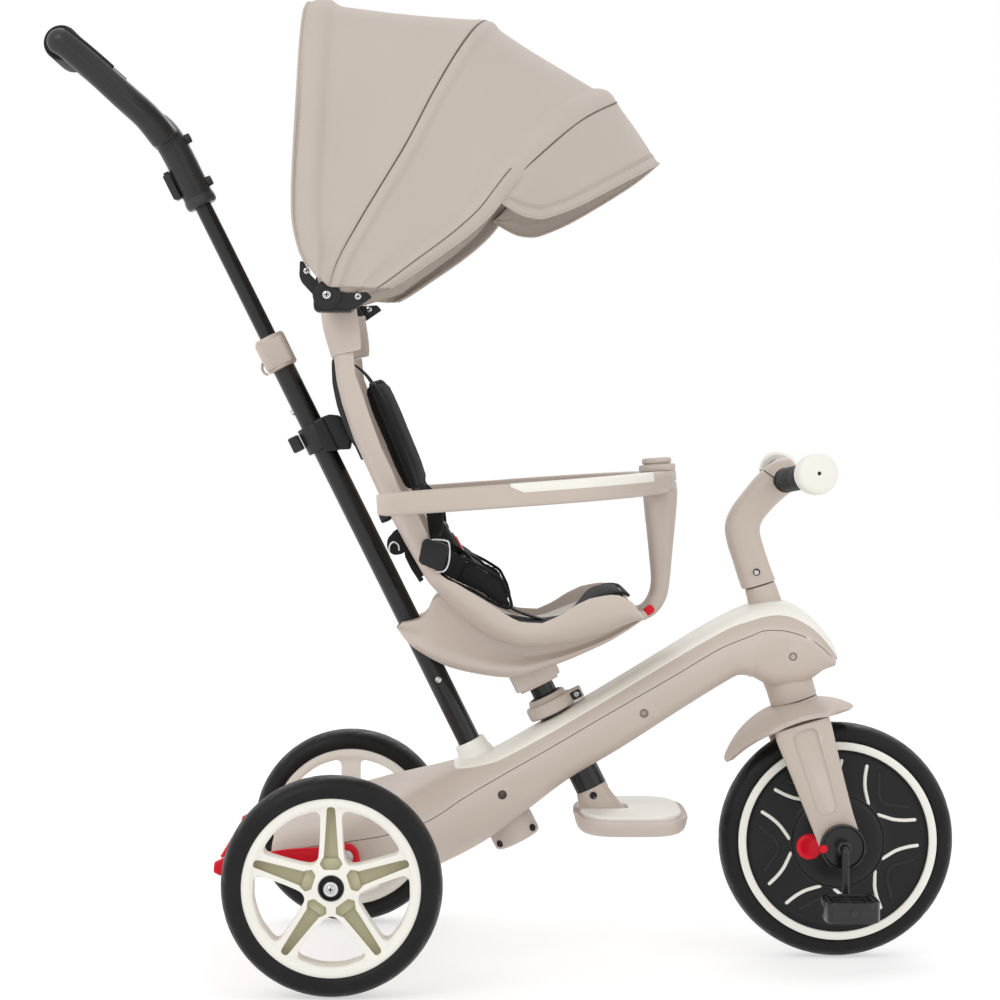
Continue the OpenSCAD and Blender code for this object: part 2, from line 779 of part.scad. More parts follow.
module handle() {
    top = [-2, 0, neck_at + neck_len];
    color(charcoal) on_bar() difference() {
        union() {
            translate([0, 0, neck_at]) cylinder(r = 16, h = neck_len);
            translate(top) sphere(r = 17);
            both_sides() {
                rod(top, [-16, -34, 900], 15);
                translate([-16, -34, 900]) sphere(r = 15 + joint_bulge);
                rod([-16, -34, 900], [-52.7, -handle_half, 969], 14);
                translate([-52.7, -handle_half, 969]) sphere(r = 15);
            }
            translate(handle_back_point) rotate([90, 0, 0]) cylinder(r = 12, h = 2 * handle_half, center = true);
        }
        translate([0, 0, neck_at - 1]) cylinder(r = bar_upper_r, h = 51);
        translate([-30, -9, neck_at + 12]) cube([18, 18, 34]);
    }
}

module handle_grip() {
    color(charcoal) on_bar() translate(handle_back_point) rotate([90, 0, 0]) difference() {
        cylinder(r = grip_r, h = 2 * (handle_half - 22), center = true);
        cylinder(r = 12, h = 200, center = true);
    }
}

module handle_button() {
    color(charcoal) on_bar() translate([-22.5, -8, neck_at + 13]) cube([6, 16, 32]);
}

// ---- Footrest ----

module footrest_column() {
    web = [[246, 152], [252, 176], [262, 184], [280, 176], [272, 160], [269, 142], [256, 137], [248, 142]];
    color(beige) difference() {
        union() {
            on_post() translate([0, 0, -12]) cylinder(r = 21, h = 20);
            from_rear_axle() side_slab(web, 36);
        }
        on_post() translate([0, 0, -10]) cylinder(r = 17, h = 60);
        from_rear_axle() cross_rod(4.05, 60, [258, 149]);
    }
}

module footrest_platform() {
    color(beige) from_rear_axle() {
        difference() {
            translate([307, 0, 138]) linear_extrude(height = 18) polygon(squircle(60, 97, 0.62, 48));
            translate([200, -19, 130]) cube([96, 38, 40]);
        }
        cross_rod(4, 46, [258, 149]);
    }
}

module footrest_pad() {
    color(cream) from_rear_axle() difference() {
        translate([307, 0, 156]) linear_extrude(height = 4) polygon(squircle(50, 87, 0.62, 48));
        translate([200, -22, 150]) cube([99, 44, 40]);
    }
}

frame_lower_shell();
frame_upper_shell();
frame_top_trim();
frame_fasteners();
head_bushes();
seat_tube();
seat_clamp();
bar_boss();
rear_axle();
brake_pedal();
rear_tyre(1);  // rear_tyre_left
rear_tyre(-1);  // rear_tyre_right
rear_rim(1);  // rear_rim_left
rear_rim(-1);  // rear_rim_right
footrest_column();
footrest_platform();
footrest_pad();
fork();
mudguard();
fork_caps();
stem();
handlebar();
grips();
bar_ends();
front_tyre();
front_discs();
front_inlays();
clutch_button();
crank();
pedal(1);  // pedal_left
pedal(-1);  // pedal_right
seat_post();
seat_base();
seat_shell();
seat_insert();
seat_pad();
harness_straps();
harness_pads();
buckle();
buckle_button();
bar_clip();
clip_lever();
safety_post();
safety_button();
safety_arm(1);  // safety_arm_left
safety_arm(-1);  // safety_arm_right
canopy_mount();
canopy_brackets();
bow(hood_rear_r - 5, hood_rear_w - 4, -rear_bow_tilt);  // rear_bow
bow(hood_rear_r - 14, hood_rear_w - 13, mid_bow_tilt);  // middle_bow
bow(hood_front_r - 5, hood_front_w - 5, front_bow_tilt);  // front_bow
cover(hood_rear_r, hood_rear_w, -rear_bow_tilt - 2, mid_bow_tilt - 1);  // canopy_rear_cover
cover(hood_front_r, hood_front_w, mid_bow_tilt + 1, front_bow_tilt + 2);  // canopy_front_cover
canopy_visor();
bar_lower_tube();
bar_upper_tube();
bar_collar();
handle();
handle_grip();
handle_button();
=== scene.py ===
"""The looks of a children's tricycle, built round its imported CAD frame.

Side outlines are drawn in millimetres as (forward of the rear axle, height above the ground),
the same way as the CAD source draws them. The rider's right side is at negative y.
"""

import math
import random
from collections import namedtuple

import bmesh
import bpy
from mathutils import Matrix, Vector


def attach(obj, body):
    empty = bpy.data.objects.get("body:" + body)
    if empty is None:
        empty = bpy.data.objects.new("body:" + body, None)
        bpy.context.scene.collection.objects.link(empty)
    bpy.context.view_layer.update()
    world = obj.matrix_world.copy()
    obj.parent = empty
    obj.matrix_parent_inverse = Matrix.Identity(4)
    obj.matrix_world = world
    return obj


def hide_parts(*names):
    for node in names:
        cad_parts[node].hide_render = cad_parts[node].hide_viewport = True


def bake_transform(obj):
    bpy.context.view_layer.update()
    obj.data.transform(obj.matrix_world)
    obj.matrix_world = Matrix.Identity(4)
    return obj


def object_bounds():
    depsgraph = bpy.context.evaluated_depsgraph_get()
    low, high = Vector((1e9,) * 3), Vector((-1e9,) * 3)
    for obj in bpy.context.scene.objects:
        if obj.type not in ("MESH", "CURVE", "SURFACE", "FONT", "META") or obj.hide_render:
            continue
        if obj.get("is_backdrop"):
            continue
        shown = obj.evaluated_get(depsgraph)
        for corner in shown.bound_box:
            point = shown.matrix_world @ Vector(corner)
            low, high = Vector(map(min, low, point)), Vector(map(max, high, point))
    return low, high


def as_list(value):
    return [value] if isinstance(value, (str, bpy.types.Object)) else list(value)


MM = 0.001
REAR_X = -172.75
BAR_LEAN = math.radians(26.4)
STEER_LEAN = math.radians(16.7)
WHEELBASE, FRONT_R, REAR_R, TRACK = 527.0, 125.0, 110.0, 445.0
HUB_X, HUB_Z = -8.0, 698.0
RING_X, RING_Z, RING_R = 337.0, 506.0, 153.0
CRANK_Y, CRANK_LEN = 88.0, 55.0
# Radius at which a profile closes near its axis
AXIS = 0.01
# Signs of y on the rider's right and left
SIDES = (-1, 1)
CAMERA_PLACE = (-0.0308, -3.040, 0.5568)
CAMERA_LENS, CAMERA_DROP, CAMERA_TURN = 102.7, 1.315, -0.5
FLOOR_SIZE, FLOOR_Z = 30, -0.0005

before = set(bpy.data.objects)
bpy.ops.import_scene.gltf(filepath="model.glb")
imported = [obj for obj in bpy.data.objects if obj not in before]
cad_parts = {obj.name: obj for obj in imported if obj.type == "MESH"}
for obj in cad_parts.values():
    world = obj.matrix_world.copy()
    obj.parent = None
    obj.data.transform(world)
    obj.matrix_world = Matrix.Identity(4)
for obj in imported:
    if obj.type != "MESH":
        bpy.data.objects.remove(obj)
cad_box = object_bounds()
random.seed(7)


# ---------------------------------------------------------------- places

def design(x, y, z):
    """A point given in the side outlines' millimetres."""
    return Vector(((x + REAR_X) * MM, y * MM, z * MM))


def leaning(origin_x, origin_z, lean):
    """A frame whose third axis leans back from upright by an angle."""
    c, s = math.cos(lean), math.sin(lean)

    def place(x, y, z):
        return design(origin_x + x * c - z * s, y, origin_z + x * s + z * c)
    return place


on_bar = leaning(190.0, 120.6, BAR_LEAN)
on_post = leaning(264.1, 184.0, BAR_LEAN)
on_steering = leaning(WHEELBASE, FRONT_R, STEER_LEAN)


def about(x, y, z):
    """A frame with its third axis along -Y, for parts that turn on an axle across the tricycle."""
    def place(a, b, c):
        return design(x + a, y - c, z + b)
    return place


def moved(place, x, y, z):
    """A frame whose origin is moved within another frame."""
    return lambda a, b, c: place(x + a, y + b, z + c)


def side_place(y, side):
    """A frame in the side view at a distance from the middle, facing outwards."""
    return lambda a, b, c: design(a, side * (y + c), b)


def side_name(side):
    return "left" if side > 0 else "right"


def turned(place, centre, direction):
    """A frame at a point of another frame, with its third axis along a direction of that frame."""
    q = Vector(direction).normalized().to_track_quat("Z", "Y").to_matrix()

    def at(x, y, z):
        p = q @ Vector((x, y, z)) + Vector(centre)
        return place(p.x, p.y, p.z)
    return at


def outward(side, x, y, z):
    """A frame on one side of the tricycle, with its third axis pointing away from the middle."""
    return turned(design, (x, side * y, z), (0, side, 0))


def smooth_rows(rows, steps):
    """Catmull-Rom rows between the given ones."""
    made = []
    for i in range(len(rows) - 1):
        a = rows[max(i - 1, 0)]
        b, c = rows[i], rows[i + 1]
        d = rows[min(i + 2, len(rows) - 1)]
        for k in range(steps):
            t = k / steps
            made.append(tuple(
                0.5 * (2 * q + (r - p) * t + (2 * p - 5 * q + 4 * r - s) * t * t
                       + (3 * q - p - 3 * r + s) * t ** 3)
                for p, q, r, s in zip(a, b, c, d)))
    made.append(tuple(rows[-1]))
    return made


def resample(points, count):
    """Points evenly spaced along a line of Vectors."""
    lengths = [0.0]
    for p, q in zip(points, points[1:]):
        lengths.append(lengths[-1] + (q - p).length)
    made, j = [], 0
    for i in range(count):
        want = lengths[-1] * i / (count - 1)
        while j < len(points) - 2 and lengths[j + 1] < want:
            j += 1
        span = max(lengths[j + 1] - lengths[j], 1e-12)
        made.append(points[j].lerp(points[j + 1], min(1.0, max(0.0, (want - lengths[j]) / span))))
    return made


def smooth_line(points, steps):
    """A Catmull-Rom line of Vectors through the given points."""
    return [Vector(p) for p in smooth_rows([tuple(p) for p in points], steps)]


def line_length(line):
    return sum((q - p).length for p, q in zip(line, line[1:]))


def signed_power(value, power):
    return math.copysign(abs(value) ** power, value)


def rounded(corners, radius, steps=6):
    """A closed 2D outline with its corners rounded."""
    made, n = [], len(corners)
    for i, corner in enumerate(corners):
        r = radius[i] if isinstance(radius, (list, tuple)) else radius
        p = Vector(corner)
        a, b = Vector(corners[i - 1]) - p, Vector(corners[(i + 1) % n]) - p
        cut = min(r, a.length * 0.48, b.length * 0.48)
        start, end = p + a.normalized() * cut, p + b.normalized() * cut
        for k in range(steps + 1):
            t = k / steps
            made.append(tuple(start * (1 - t) ** 2 + p * 2 * t * (1 - t) + end * t * t))
    return made


def panel_outline(half_x, half_y, radius, steps=6):
    """A rectangle about the origin with rounded corners."""
    corners = [(-half_x, -half_y), (half_x, -half_y), (half_x, half_y), (-half_x, half_y)]
    return rounded(corners, radius, steps)


def plug(radius, low, high):
    """The profile of a solid round plug, for a lathe."""
    return [(AXIS, low), (radius, low), (radius, high), (AXIS, high)]


def spun(x, y, turn):
    """A 2D point turned about the origin."""
    c, s = math.cos(turn), math.sin(turn)
    return (x * c - y * s, x * s + y * c)


def oval(half_x, half_y, power=2.0, count=40, cx=0.0, cy=0.0):
    return [(cx + half_x * signed_power(math.cos(t), 2 / power),
             cy + half_y * signed_power(math.sin(t), 2 / power))
            for t in (2 * math.pi * k / count for k in range(count))]


# ---------------------------------------------------------------- meshes

def grid_faces(rows, cols, close_rows=False, close_cols=False):
    """The four-sided faces between the points of a grid."""
    faces = []
    for i in range(rows if close_rows else rows - 1):
        for j in range(cols if close_cols else cols - 1):
            i2, j2 = (i + 1) % rows, (j + 1) % cols
            faces.append((i * cols + j, i * cols + j2, i2 * cols + j2, i2 * cols + j))
    return faces


class Shape:
    """Points and faces that are gathered before they become one piece."""

    def __init__(self):
        self.points = []
        self.faces = []
        self.slots = []

    def add(self, points, faces, slot=0):
        base = len(self.points)
        self.points += points
        self.faces += [tuple(base + i for i in f) for f in faces]
        self.slots += [slot] * len(faces)

    def rings(self, rings, caps=True, wrap=False, slot=0):
        """A skin over closed rings of equal length."""
        n = len(rings[0])
        faces = grid_faces(len(rings), n, close_rows=wrap, close_cols=True)
        if caps and not wrap:
            faces.append(tuple(range(n - 1, -1, -1)))
            faces.append(tuple(range((len(rings) - 1) * n, len(rings) * n)))
        self.add([p for ring in rings for p in ring], faces, slot)

    def prism(self, outline, low, high, place, edge=0.0, slot=0):
        """An outline thickened along the place's third axis, with its edges rounded."""
        xs, ys = [p[0] for p in outline], [p[1] for p in outline]
        cx, cy = (min(xs) + max(xs)) / 2, (min(ys) + max(ys)) / 2
        size = min(max(xs) - min(xs), max(ys) - min(ys)) / 2
        rings = []
        for h, inset in ([(low, edge), (low + edge * 0.3, edge * 0.3), (low + edge, 0), (high - edge, 0),
                          (high - edge * 0.3, edge * 0.3), (high, edge)] if edge else [(low, 0), (high, 0)]):
            f = 1 - inset / size
            rings.append([place(cx + (x - cx) * f, cy + (y - cy) * f, h) for x, y in outline])
        self.rings(rings, slot=slot)

    def lathe(self, profile, place, count=64, slot=0, closed=False):
        """A profile of (radius, height) turned about the place's third axis."""
        rings = [[place(r * math.cos(t), r * math.sin(t), h)
                  for t in (2 * math.pi * k / count for k in range(count))] for r, h in profile]
        self.rings(rings, caps=not closed, wrap=closed, slot=slot)

    def sweep(self, path, section, up=(0, 1, 0), scales=None, slot=0):
        """A 2D section in metres carried along a line of Vectors, kept upright to a direction."""
        rings = []
        for i, p in enumerate(path):
            along = (path[min(i + 1, len(path) - 1)] - path[max(i - 1, 0)]).normalized()
            side = along.cross(Vector(up))
            side = side.normalized() if side.length > 1e-6 else Vector((1, 0, 0))
            top = side.cross(along).normalized()
            sx, sy = scales[i] if scales else (1.0, 1.0)
            rings.append([p + side * (x * sx) + top * (y * sy) for x, y in section])
        self.rings(rings, slot=slot)

    def tube(self, path, radius, count=20, caps=True, slot=0):
        """A round tube along a line of Vectors, with no twist."""
        rings, side = [], None
        for i, p in enumerate(path):
            along = (path[min(i + 1, len(path) - 1)] - path[max(i - 1, 0)]).normalized()
            if side is None:
                side = along.orthogonal().normalized()
            side = (side - along * side.dot(along)).normalized()
            top = along.cross(side)
            r = radius[i] if isinstance(radius, (list, tuple)) else radius
            rings.append([p + (side * math.cos(t) + top * math.sin(t)) * r
                          for t in (2 * math.pi * k / count for k in range(count))])
        self.rings(rings, caps=caps, slot=slot)


def apply_modifiers(obj):
    bpy.context.view_layer.update()
    graph = bpy.context.evaluated_depsgraph_get()
    mesh = bpy.data.meshes.new_from_object(obj.evaluated_get(graph))
    old = obj.data
    obj.modifiers.clear()
    obj.data = mesh
    bpy.data.meshes.remove(old)


def object_from(name, shape, materials):
    mesh = bpy.data.meshes.new(name)
    mesh.from_pydata([tuple(p) for p in shape.points], [], shape.faces)
    for m in materials:
        mesh.materials.append(m)
    mesh.polygons.foreach_set("material_index", shape.slots)
    mesh.validate()
    work = bmesh.new()
    work.from_mesh(mesh)
    bmesh.ops.remove_doubles(work, verts=work.verts, dist=2e-6)
    bmesh.ops.recalc_face_normals(work, faces=work.faces)
    work.to_mesh(mesh)
    work.free()
    obj = bpy.data.objects.new(name, mesh)
    bpy.context.scene.collection.objects.link(obj)
    return obj


def piece(name, shape, materials, body, replaced=(), bevel=0.0, thick=0.0, angle=38.0):
    """Turns a shape into a finished piece that rides on a body."""
    if not isinstance(materials, (list, tuple)):
        materials = [materials]
    obj = object_from(name, shape, materials)
    if thick:
        mod = obj.modifiers.new("thickness", "SOLIDIFY")
        mod.thickness = thick * MM
        mod.offset = -1.0
        mod.use_even_offset = False
    if bevel:
        bevel_edges(obj, bevel, 2, angle)
    if obj.modifiers:
        apply_modifiers(obj)
    soften(obj, angle)
    settle(obj, body, replaced)
    return obj


def bevel_edges(obj, width, segments, angle):
    """Rounds every edge that is sharper than an angle."""
    mod = obj.modifiers.new("edges", "BEVEL")
    mod.width = width * MM
    mod.segments = segments
    mod.limit_method = "ANGLE"
    mod.angle_limit = math.radians(angle)


def smooth_all(obj):
    obj.data.polygons.foreach_set("use_smooth", [True] * len(obj.data.polygons))


def soften(obj, angle=38.0):
    smooth_all(obj)
    obj.data.set_sharp_from_angle(angle=math.radians(angle))


def settle(obj, body, replaced=()):
    if body:
        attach(obj, body)
    if replaced:
        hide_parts(*([replaced] if isinstance(replaced, str) else replaced))


def cut(obj, cutter):
    """Takes one closed mesh out of another, and leaves the cutter's material on the cut faces."""
    mod = obj.modifiers.new("cut", "BOOLEAN")
    mod.operation = "DIFFERENCE"
    mod.object = cutter
    mod.solver = "EXACT"
    mod.material_mode = "TRANSFER"
    apply_modifiers(obj)
    bpy.data.objects.remove(cutter)


# ---------------------------------------------------------------- materials

def new_material(name):
    m = bpy.data.materials.new(name)
    m.use_nodes = True
    tree = m.node_tree
    shader = tree.nodes["Principled BSDF"]
    coords = tree.nodes.new("ShaderNodeTexCoord")
    return m, tree, shader, coords.outputs["Object"]


def noise(tree, coords, scale, detail=3.0, rough=0.5):
    n = tree.nodes.new("ShaderNodeTexNoise")
    n.inputs["Scale"].default_value = scale
    n.inputs["Detail"].default_value = detail
    n.inputs["Roughness"].default_value = rough
    tree.links.new(coords, n.inputs["Vector"])
    return n.outputs["Fac"]


def ranged(tree, value, low, high, from_low=0.3, from_high=0.7):
    n = tree.nodes.new("ShaderNodeMapRange")
    n.inputs["From Min"].default_value = from_low
    n.inputs["From Max"].default_value = from_high
    n.inputs["To Min"].default_value = low
    n.inputs["To Max"].default_value = high
    tree.links.new(value, n.inputs["Value"])
    return n.outputs["Result"]


def mixed(tree, factor, a, b):
    """Mixes two colours, each given as an RGB triple or as a socket."""
    n = tree.nodes.new("ShaderNodeMix")
    n.data_type = "RGBA"
    tree.links.new(factor, n.inputs["Factor"])
    for socket, c in ((n.inputs["A"], a), (n.inputs["B"], b)):
        if isinstance(c, bpy.types.NodeSocket):
            tree.links.new(c, socket)
        else:
            socket.default_value = (*c, 1.0)
    return n.outputs["Result"]


def bumped(tree, shader, height, distance, strength=1.0, below=None):
    n = tree.nodes.new("ShaderNodeBump")
    n.inputs["Distance"].default_value = distance
    n.inputs["Strength"].default_value = strength
    tree.links.new(height, n.inputs["Height"])
    if below is not None:
        tree.links.new(below, n.inputs["Normal"])
    tree.links.new(n.outputs["Normal"], shader.inputs["Normal"])
    return n.outputs["Normal"]


def shifted(colour, factor):
    return tuple(min(1.0, c * factor) for c in colour)


MOULD_GRAIN = 0.00006


def moulded(name, colour, rough, variation=0.035, wear=0.25, coat=0.0, shine=0.5):
    """Injection-moulded plastic: a fine grain, slight mottling and edges rubbed paler."""
    m, tree, shader, coords = new_material(name)
    tone = mixed(tree, ranged(tree, noise(tree, coords, 9.0, 4.0), 0.0, 1.0),
                 shifted(colour, 1 - variation), shifted(colour, 1 + variation))
    geometry = tree.nodes.new("ShaderNodeNewGeometry")
    edge = ranged(tree, geometry.outputs["Pointiness"], 0.0, wear, 0.51, 0.56)
    pale = tuple(c + (1 - c) * 0.3 for c in colour)
    tree.links.new(mixed(tree, edge, tone, pale), shader.inputs["Base Color"])
    tree.links.new(ranged(tree, noise(tree, coords, 40.0, 5.0), rough - 0.06, rough + 0.06),
                   shader.inputs["Roughness"])
    bumped(tree, shader, noise(tree, coords, 1100.0, 2.0), MOULD_GRAIN)
    shader.inputs["Coat Weight"].default_value = coat
    shader.inputs["Coat Roughness"].default_value = 0.12
    shader.inputs["IOR"].default_value = 1.49
    shader.inputs["Specular IOR Level"].default_value = shine
    return m


STREAK_SCALE = (1.0, 14.0, 1.0)


def metal(name, colour, rough):
    """Steel with fine streaks and faint marks."""
    m, tree, shader, coords = new_material(name)
    mapping = tree.nodes.new("ShaderNodeMapping")
    mapping.inputs["Scale"].default_value = STREAK_SCALE
    tree.links.new(coords, mapping.inputs["Vector"])
    marks = noise(tree, mapping.outputs["Vector"], 160.0, 6.0, 0.6)
    tree.links.new(mixed(tree, ranged(tree, marks, 0.0, 1.0), shifted(colour, 0.88), shifted(colour, 1.1)),
                   shader.inputs["Base Color"])
    tree.links.new(ranged(tree, marks, rough - 0.07, rough + 0.1), shader.inputs["Roughness"])
    shader.inputs["Metallic"].default_value = 1.0
    bumped(tree, shader, marks, 0.00002)
    return m


def coated(name, colour, rough):
    """Powder-coated tube: a glossy dark film with a slight orange-peel."""
    m, tree, shader, coords = new_material(name)
    tree.links.new(mixed(tree, ranged(tree, noise(tree, coords, 25.0), 0.0, 1.0), colour,
                         shifted(colour, 1.35)),
                   shader.inputs["Base Color"])
    tree.links.new(ranged(tree, noise(tree, coords, 60.0, 5.0), rough - 0.05, rough + 0.08),
                   shader.inputs["Roughness"])
    bumped(tree, shader, noise(tree, coords, 420.0, 2.0), 0.00005)
    shader.inputs["Coat Weight"].default_value = 0.3
    shader.inputs["Coat Roughness"].default_value = 0.12
    shader.inputs["Specular IOR Level"].default_value = 0.3
    return m


def rubber(name, colour, rough):
    """Foamed rubber: matt, with fine pores and dusty high spots."""
    m, tree, shader, coords = new_material(name)
    dust = ranged(tree, noise(tree, coords, 22.0, 7.0, 0.65), 0.0, 0.55, 0.45, 0.8)
    tree.links.new(mixed(tree, dust, colour, tuple(c + 0.010 for c in colour)), shader.inputs["Base Color"])
    shader.inputs["Specular IOR Level"].default_value = 0.2
    tree.links.new(ranged(tree, noise(tree, coords, 70.0, 5.0), rough - 0.08, rough + 0.08),
                   shader.inputs["Roughness"])
    bumped(tree, shader, noise(tree, coords, 850.0, 3.0), 0.0001)
    return m


def woven(name, colour, thread=1.0, contrast=0.1, sheen=0.25, rough=0.85, map_name=None):
    """Cloth of crossed threads, which follow a map in metres or else the space the piece is in."""
    m, tree, shader, coords = new_material(name)
    source = coords
    if map_name:
        uv = tree.nodes.new("ShaderNodeUVMap")
        uv.uv_map = map_name
        source = uv.outputs["UV"]
    waves = []
    for direction in ("X", "Y") if map_name else ("X", "Y", "Z"):
        w = tree.nodes.new("ShaderNodeTexWave")
        w.bands_direction = direction
        w.inputs["Scale"].default_value = 0.314 / (thread * MM)
        w.inputs["Distortion"].default_value = 0.6
        w.inputs["Detail"].default_value = 1.0
        tree.links.new(source, w.inputs["Vector"])
        waves.append(w.outputs["Fac"])
    cloth = waves[0]
    for other in waves[1:]:
        n = tree.nodes.new("ShaderNodeMath")
        n.operation = "ADD"
        tree.links.new(cloth, n.inputs[0])
        tree.links.new(other, n.inputs[1])
        cloth = n.outputs["Value"]
    threads = ranged(tree, cloth, 0.0, 1.0, 0.3, len(waves) - 0.3)
    tone = mixed(tree, threads, shifted(colour, 1 - contrast), shifted(colour, 1 + contrast * 0.5))
    slub = ranged(tree, noise(tree, coords, 14.0, 6.0, 0.6), 0.0, 0.5)
    tree.links.new(mixed(tree, slub, tone, shifted(colour, 0.93)), shader.inputs["Base Color"])
    folds = bumped(tree, shader, noise(tree, coords, 26.0, 3.0), 0.0012, 0.35)
    bumped(tree, shader, threads, 0.00018, 0.6, folds)
    shader.inputs["Roughness"].default_value = rough
    shader.inputs["Specular IOR Level"].default_value = 0.2
    shader.inputs["Sheen Weight"].default_value = sheen
    shader.inputs["Sheen Roughness"].default_value = 0.45
    return m


BEIGE = moulded("beige plastic", (0.500, 0.425, 0.370), 0.46, shine=0.4)
CREAM = moulded("cream plastic", (0.78, 0.76, 0.695), 0.42, shine=0.4)
# Painted shade: a darker olive cream that stands in for the shade deep inside the rear rims' spoke pockets.
RECESS_SHADE_CREAM = moulded("cream plastic painted with recess shade", (0.45, 0.42, 0.28), 0.55, wear=0.05)
BLACK = moulded("black plastic", (0.010, 0.010, 0.010), 0.36, wear=0.06, variation=0.15, shine=0.25)
GLOSS_BLACK = moulded("glossy black plastic", (0.006, 0.006, 0.006), 0.22, wear=0.05, coat=0.25, shine=0.3)
RED = moulded("red plastic", (0.66, 0.003, 0.018), 0.34, wear=0.02, shine=0.22)
TUBE = coated("black powder coat", (0.006, 0.006, 0.006), 0.3)
STEEL = metal("zinc-plated steel", (0.62, 0.62, 0.63), 0.3)
TYRE = rubber("tyre rubber", (0.008, 0.008, 0.008), 0.42)
GRIP = rubber("grip rubber", (0.008, 0.008, 0.008), 0.6)
CANVAS = woven("tan canvas", (0.500, 0.440, 0.388), 1.0, 0.07, sheen=0.15, map_name="weave")
BINDING = woven("tan binding", (0.475, 0.415, 0.362), 0.8, 0.08, sheen=0.15)
DARK_THREAD = woven("brown thread", (0.11, 0.085, 0.068), 0.5)
HANDLE_BLACK = moulded("charcoal plastic", (0.022, 0.021, 0.021), 0.34, wear=0.04, variation=0.1, shine=0.35)
PAD_CLOTH = woven("black cloth", (0.012, 0.012, 0.013), 0.9, 0.35, 0.05, 0.8)
WEBBING = woven("black webbing", (0.009, 0.009, 0.009), 1.6, 0.5, 0.04, 0.7)
PIPING = woven("black piping", (0.007, 0.007, 0.007), 0.7, 0.4, 0.05, 0.6)


def paint(node, material):
    """Gives a CAD node that stays visible its finish."""
    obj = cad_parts[node]
    obj.data.materials.clear()
    obj.data.materials.append(material)


# ---------------------------------------------------------------- camera and light

def make_camera():
    data = bpy.data.cameras.new("camera")
    data.sensor_width = 36.0
    data.lens = CAMERA_LENS
    cam = bpy.data.objects.new("camera", data)
    cam.location = CAMERA_PLACE
    cam.rotation_euler = (math.radians(90 - CAMERA_DROP), 0.0, math.radians(CAMERA_TURN))
    bpy.context.scene.collection.objects.link(cam)
    bpy.context.scene.camera = cam


def area_light(name, location, target, size, power):
    data = bpy.data.lights.new(name, "AREA")
    data.shape = "RECTANGLE"
    data.size, data.size_y = size
    data.energy = power
    obj = bpy.data.objects.new(name, data)
    obj.location = location
    obj.rotation_euler = (Vector(target) - Vector(location)).to_track_quat("-Z", "Y").to_euler()
    bpy.context.scene.collection.objects.link(obj)


def make_studio():
    scene = bpy.context.scene
    scene.view_settings.view_transform = "Standard"
    world = scene.world or bpy.data.worlds.new("studio")
    scene.world = world
    world.use_nodes = True
    background = world.node_tree.nodes["Background"]
    background.inputs["Color"].default_value = (1.0, 1.0, 1.0, 1.0)
    background.inputs["Strength"].default_value = 1.0
    area_light("key", (-1.6, -2.2, 2.6), (0, 0, 0.5), (1.6, 1.6), 20)
    area_light("fill", (2.4, -1.8, 1.4), (0, 0, 0.5), (1.8, 1.8), 6)
    area_light("rim", (0.4, 2.4, 2.2), (0, 0, 0.6), (2.0, 1.2), 12)
    bpy.ops.mesh.primitive_plane_add(size=FLOOR_SIZE, location=(0, 0, FLOOR_Z))
    floor = bpy.context.object
    floor.name = "floor"
    m, tree, shader, coords = new_material("pale floor")
    tree.links.new(mixed(tree, noise(tree, coords, 3.0), (0.49, 0.49, 0.49), (0.51, 0.51, 0.51)),
                   shader.inputs["Base Color"])
    shader.inputs["Roughness"].default_value = 0.9
    shader.inputs["Specular IOR Level"].default_value = 0.1
    shader.inputs["Emission Color"].default_value = (1.0, 1.0, 1.0, 1.0)
    shader.inputs["Emission Strength"].default_value = 0.55
    floor.data.materials.append(m)
    floor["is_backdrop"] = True


make_camera()
make_studio()


# ---------------------------------------------------------------- small repeated parts

def screw_head(shape, place, radius, height, slot=0, recess=1):
    """A domed head with a cross recess, its axis along the place's third axis."""
    shape.lathe([(AXIS, 0), (radius, 0), (radius, height * 0.35), (radius * 0.85, height * 0.75),
                 (radius * 0.5, height), (AXIS, height)], place, 24, slot)
    arm, width = radius * 0.55, radius * 0.13
    for roll in (0.0, math.pi / 2):
        outline = [spun(x, y, roll) for x, y in ((-arm, -width), (arm, -width), (arm, width), (-arm, width))]
        shape.prism(outline, height * 0.6, height * 1.04, place, slot=recess)


def washer(shape, place, inner, outer, height, slot=0):
    shape.lathe([(inner, 0), (outer, 0), (outer, height * 0.6), (outer - height * 0.5, height),
                 (inner + height * 0.3, height), (inner, height * 0.7)], place, 40, slot, closed=True)


# ---------------------------------------------------------------- frame

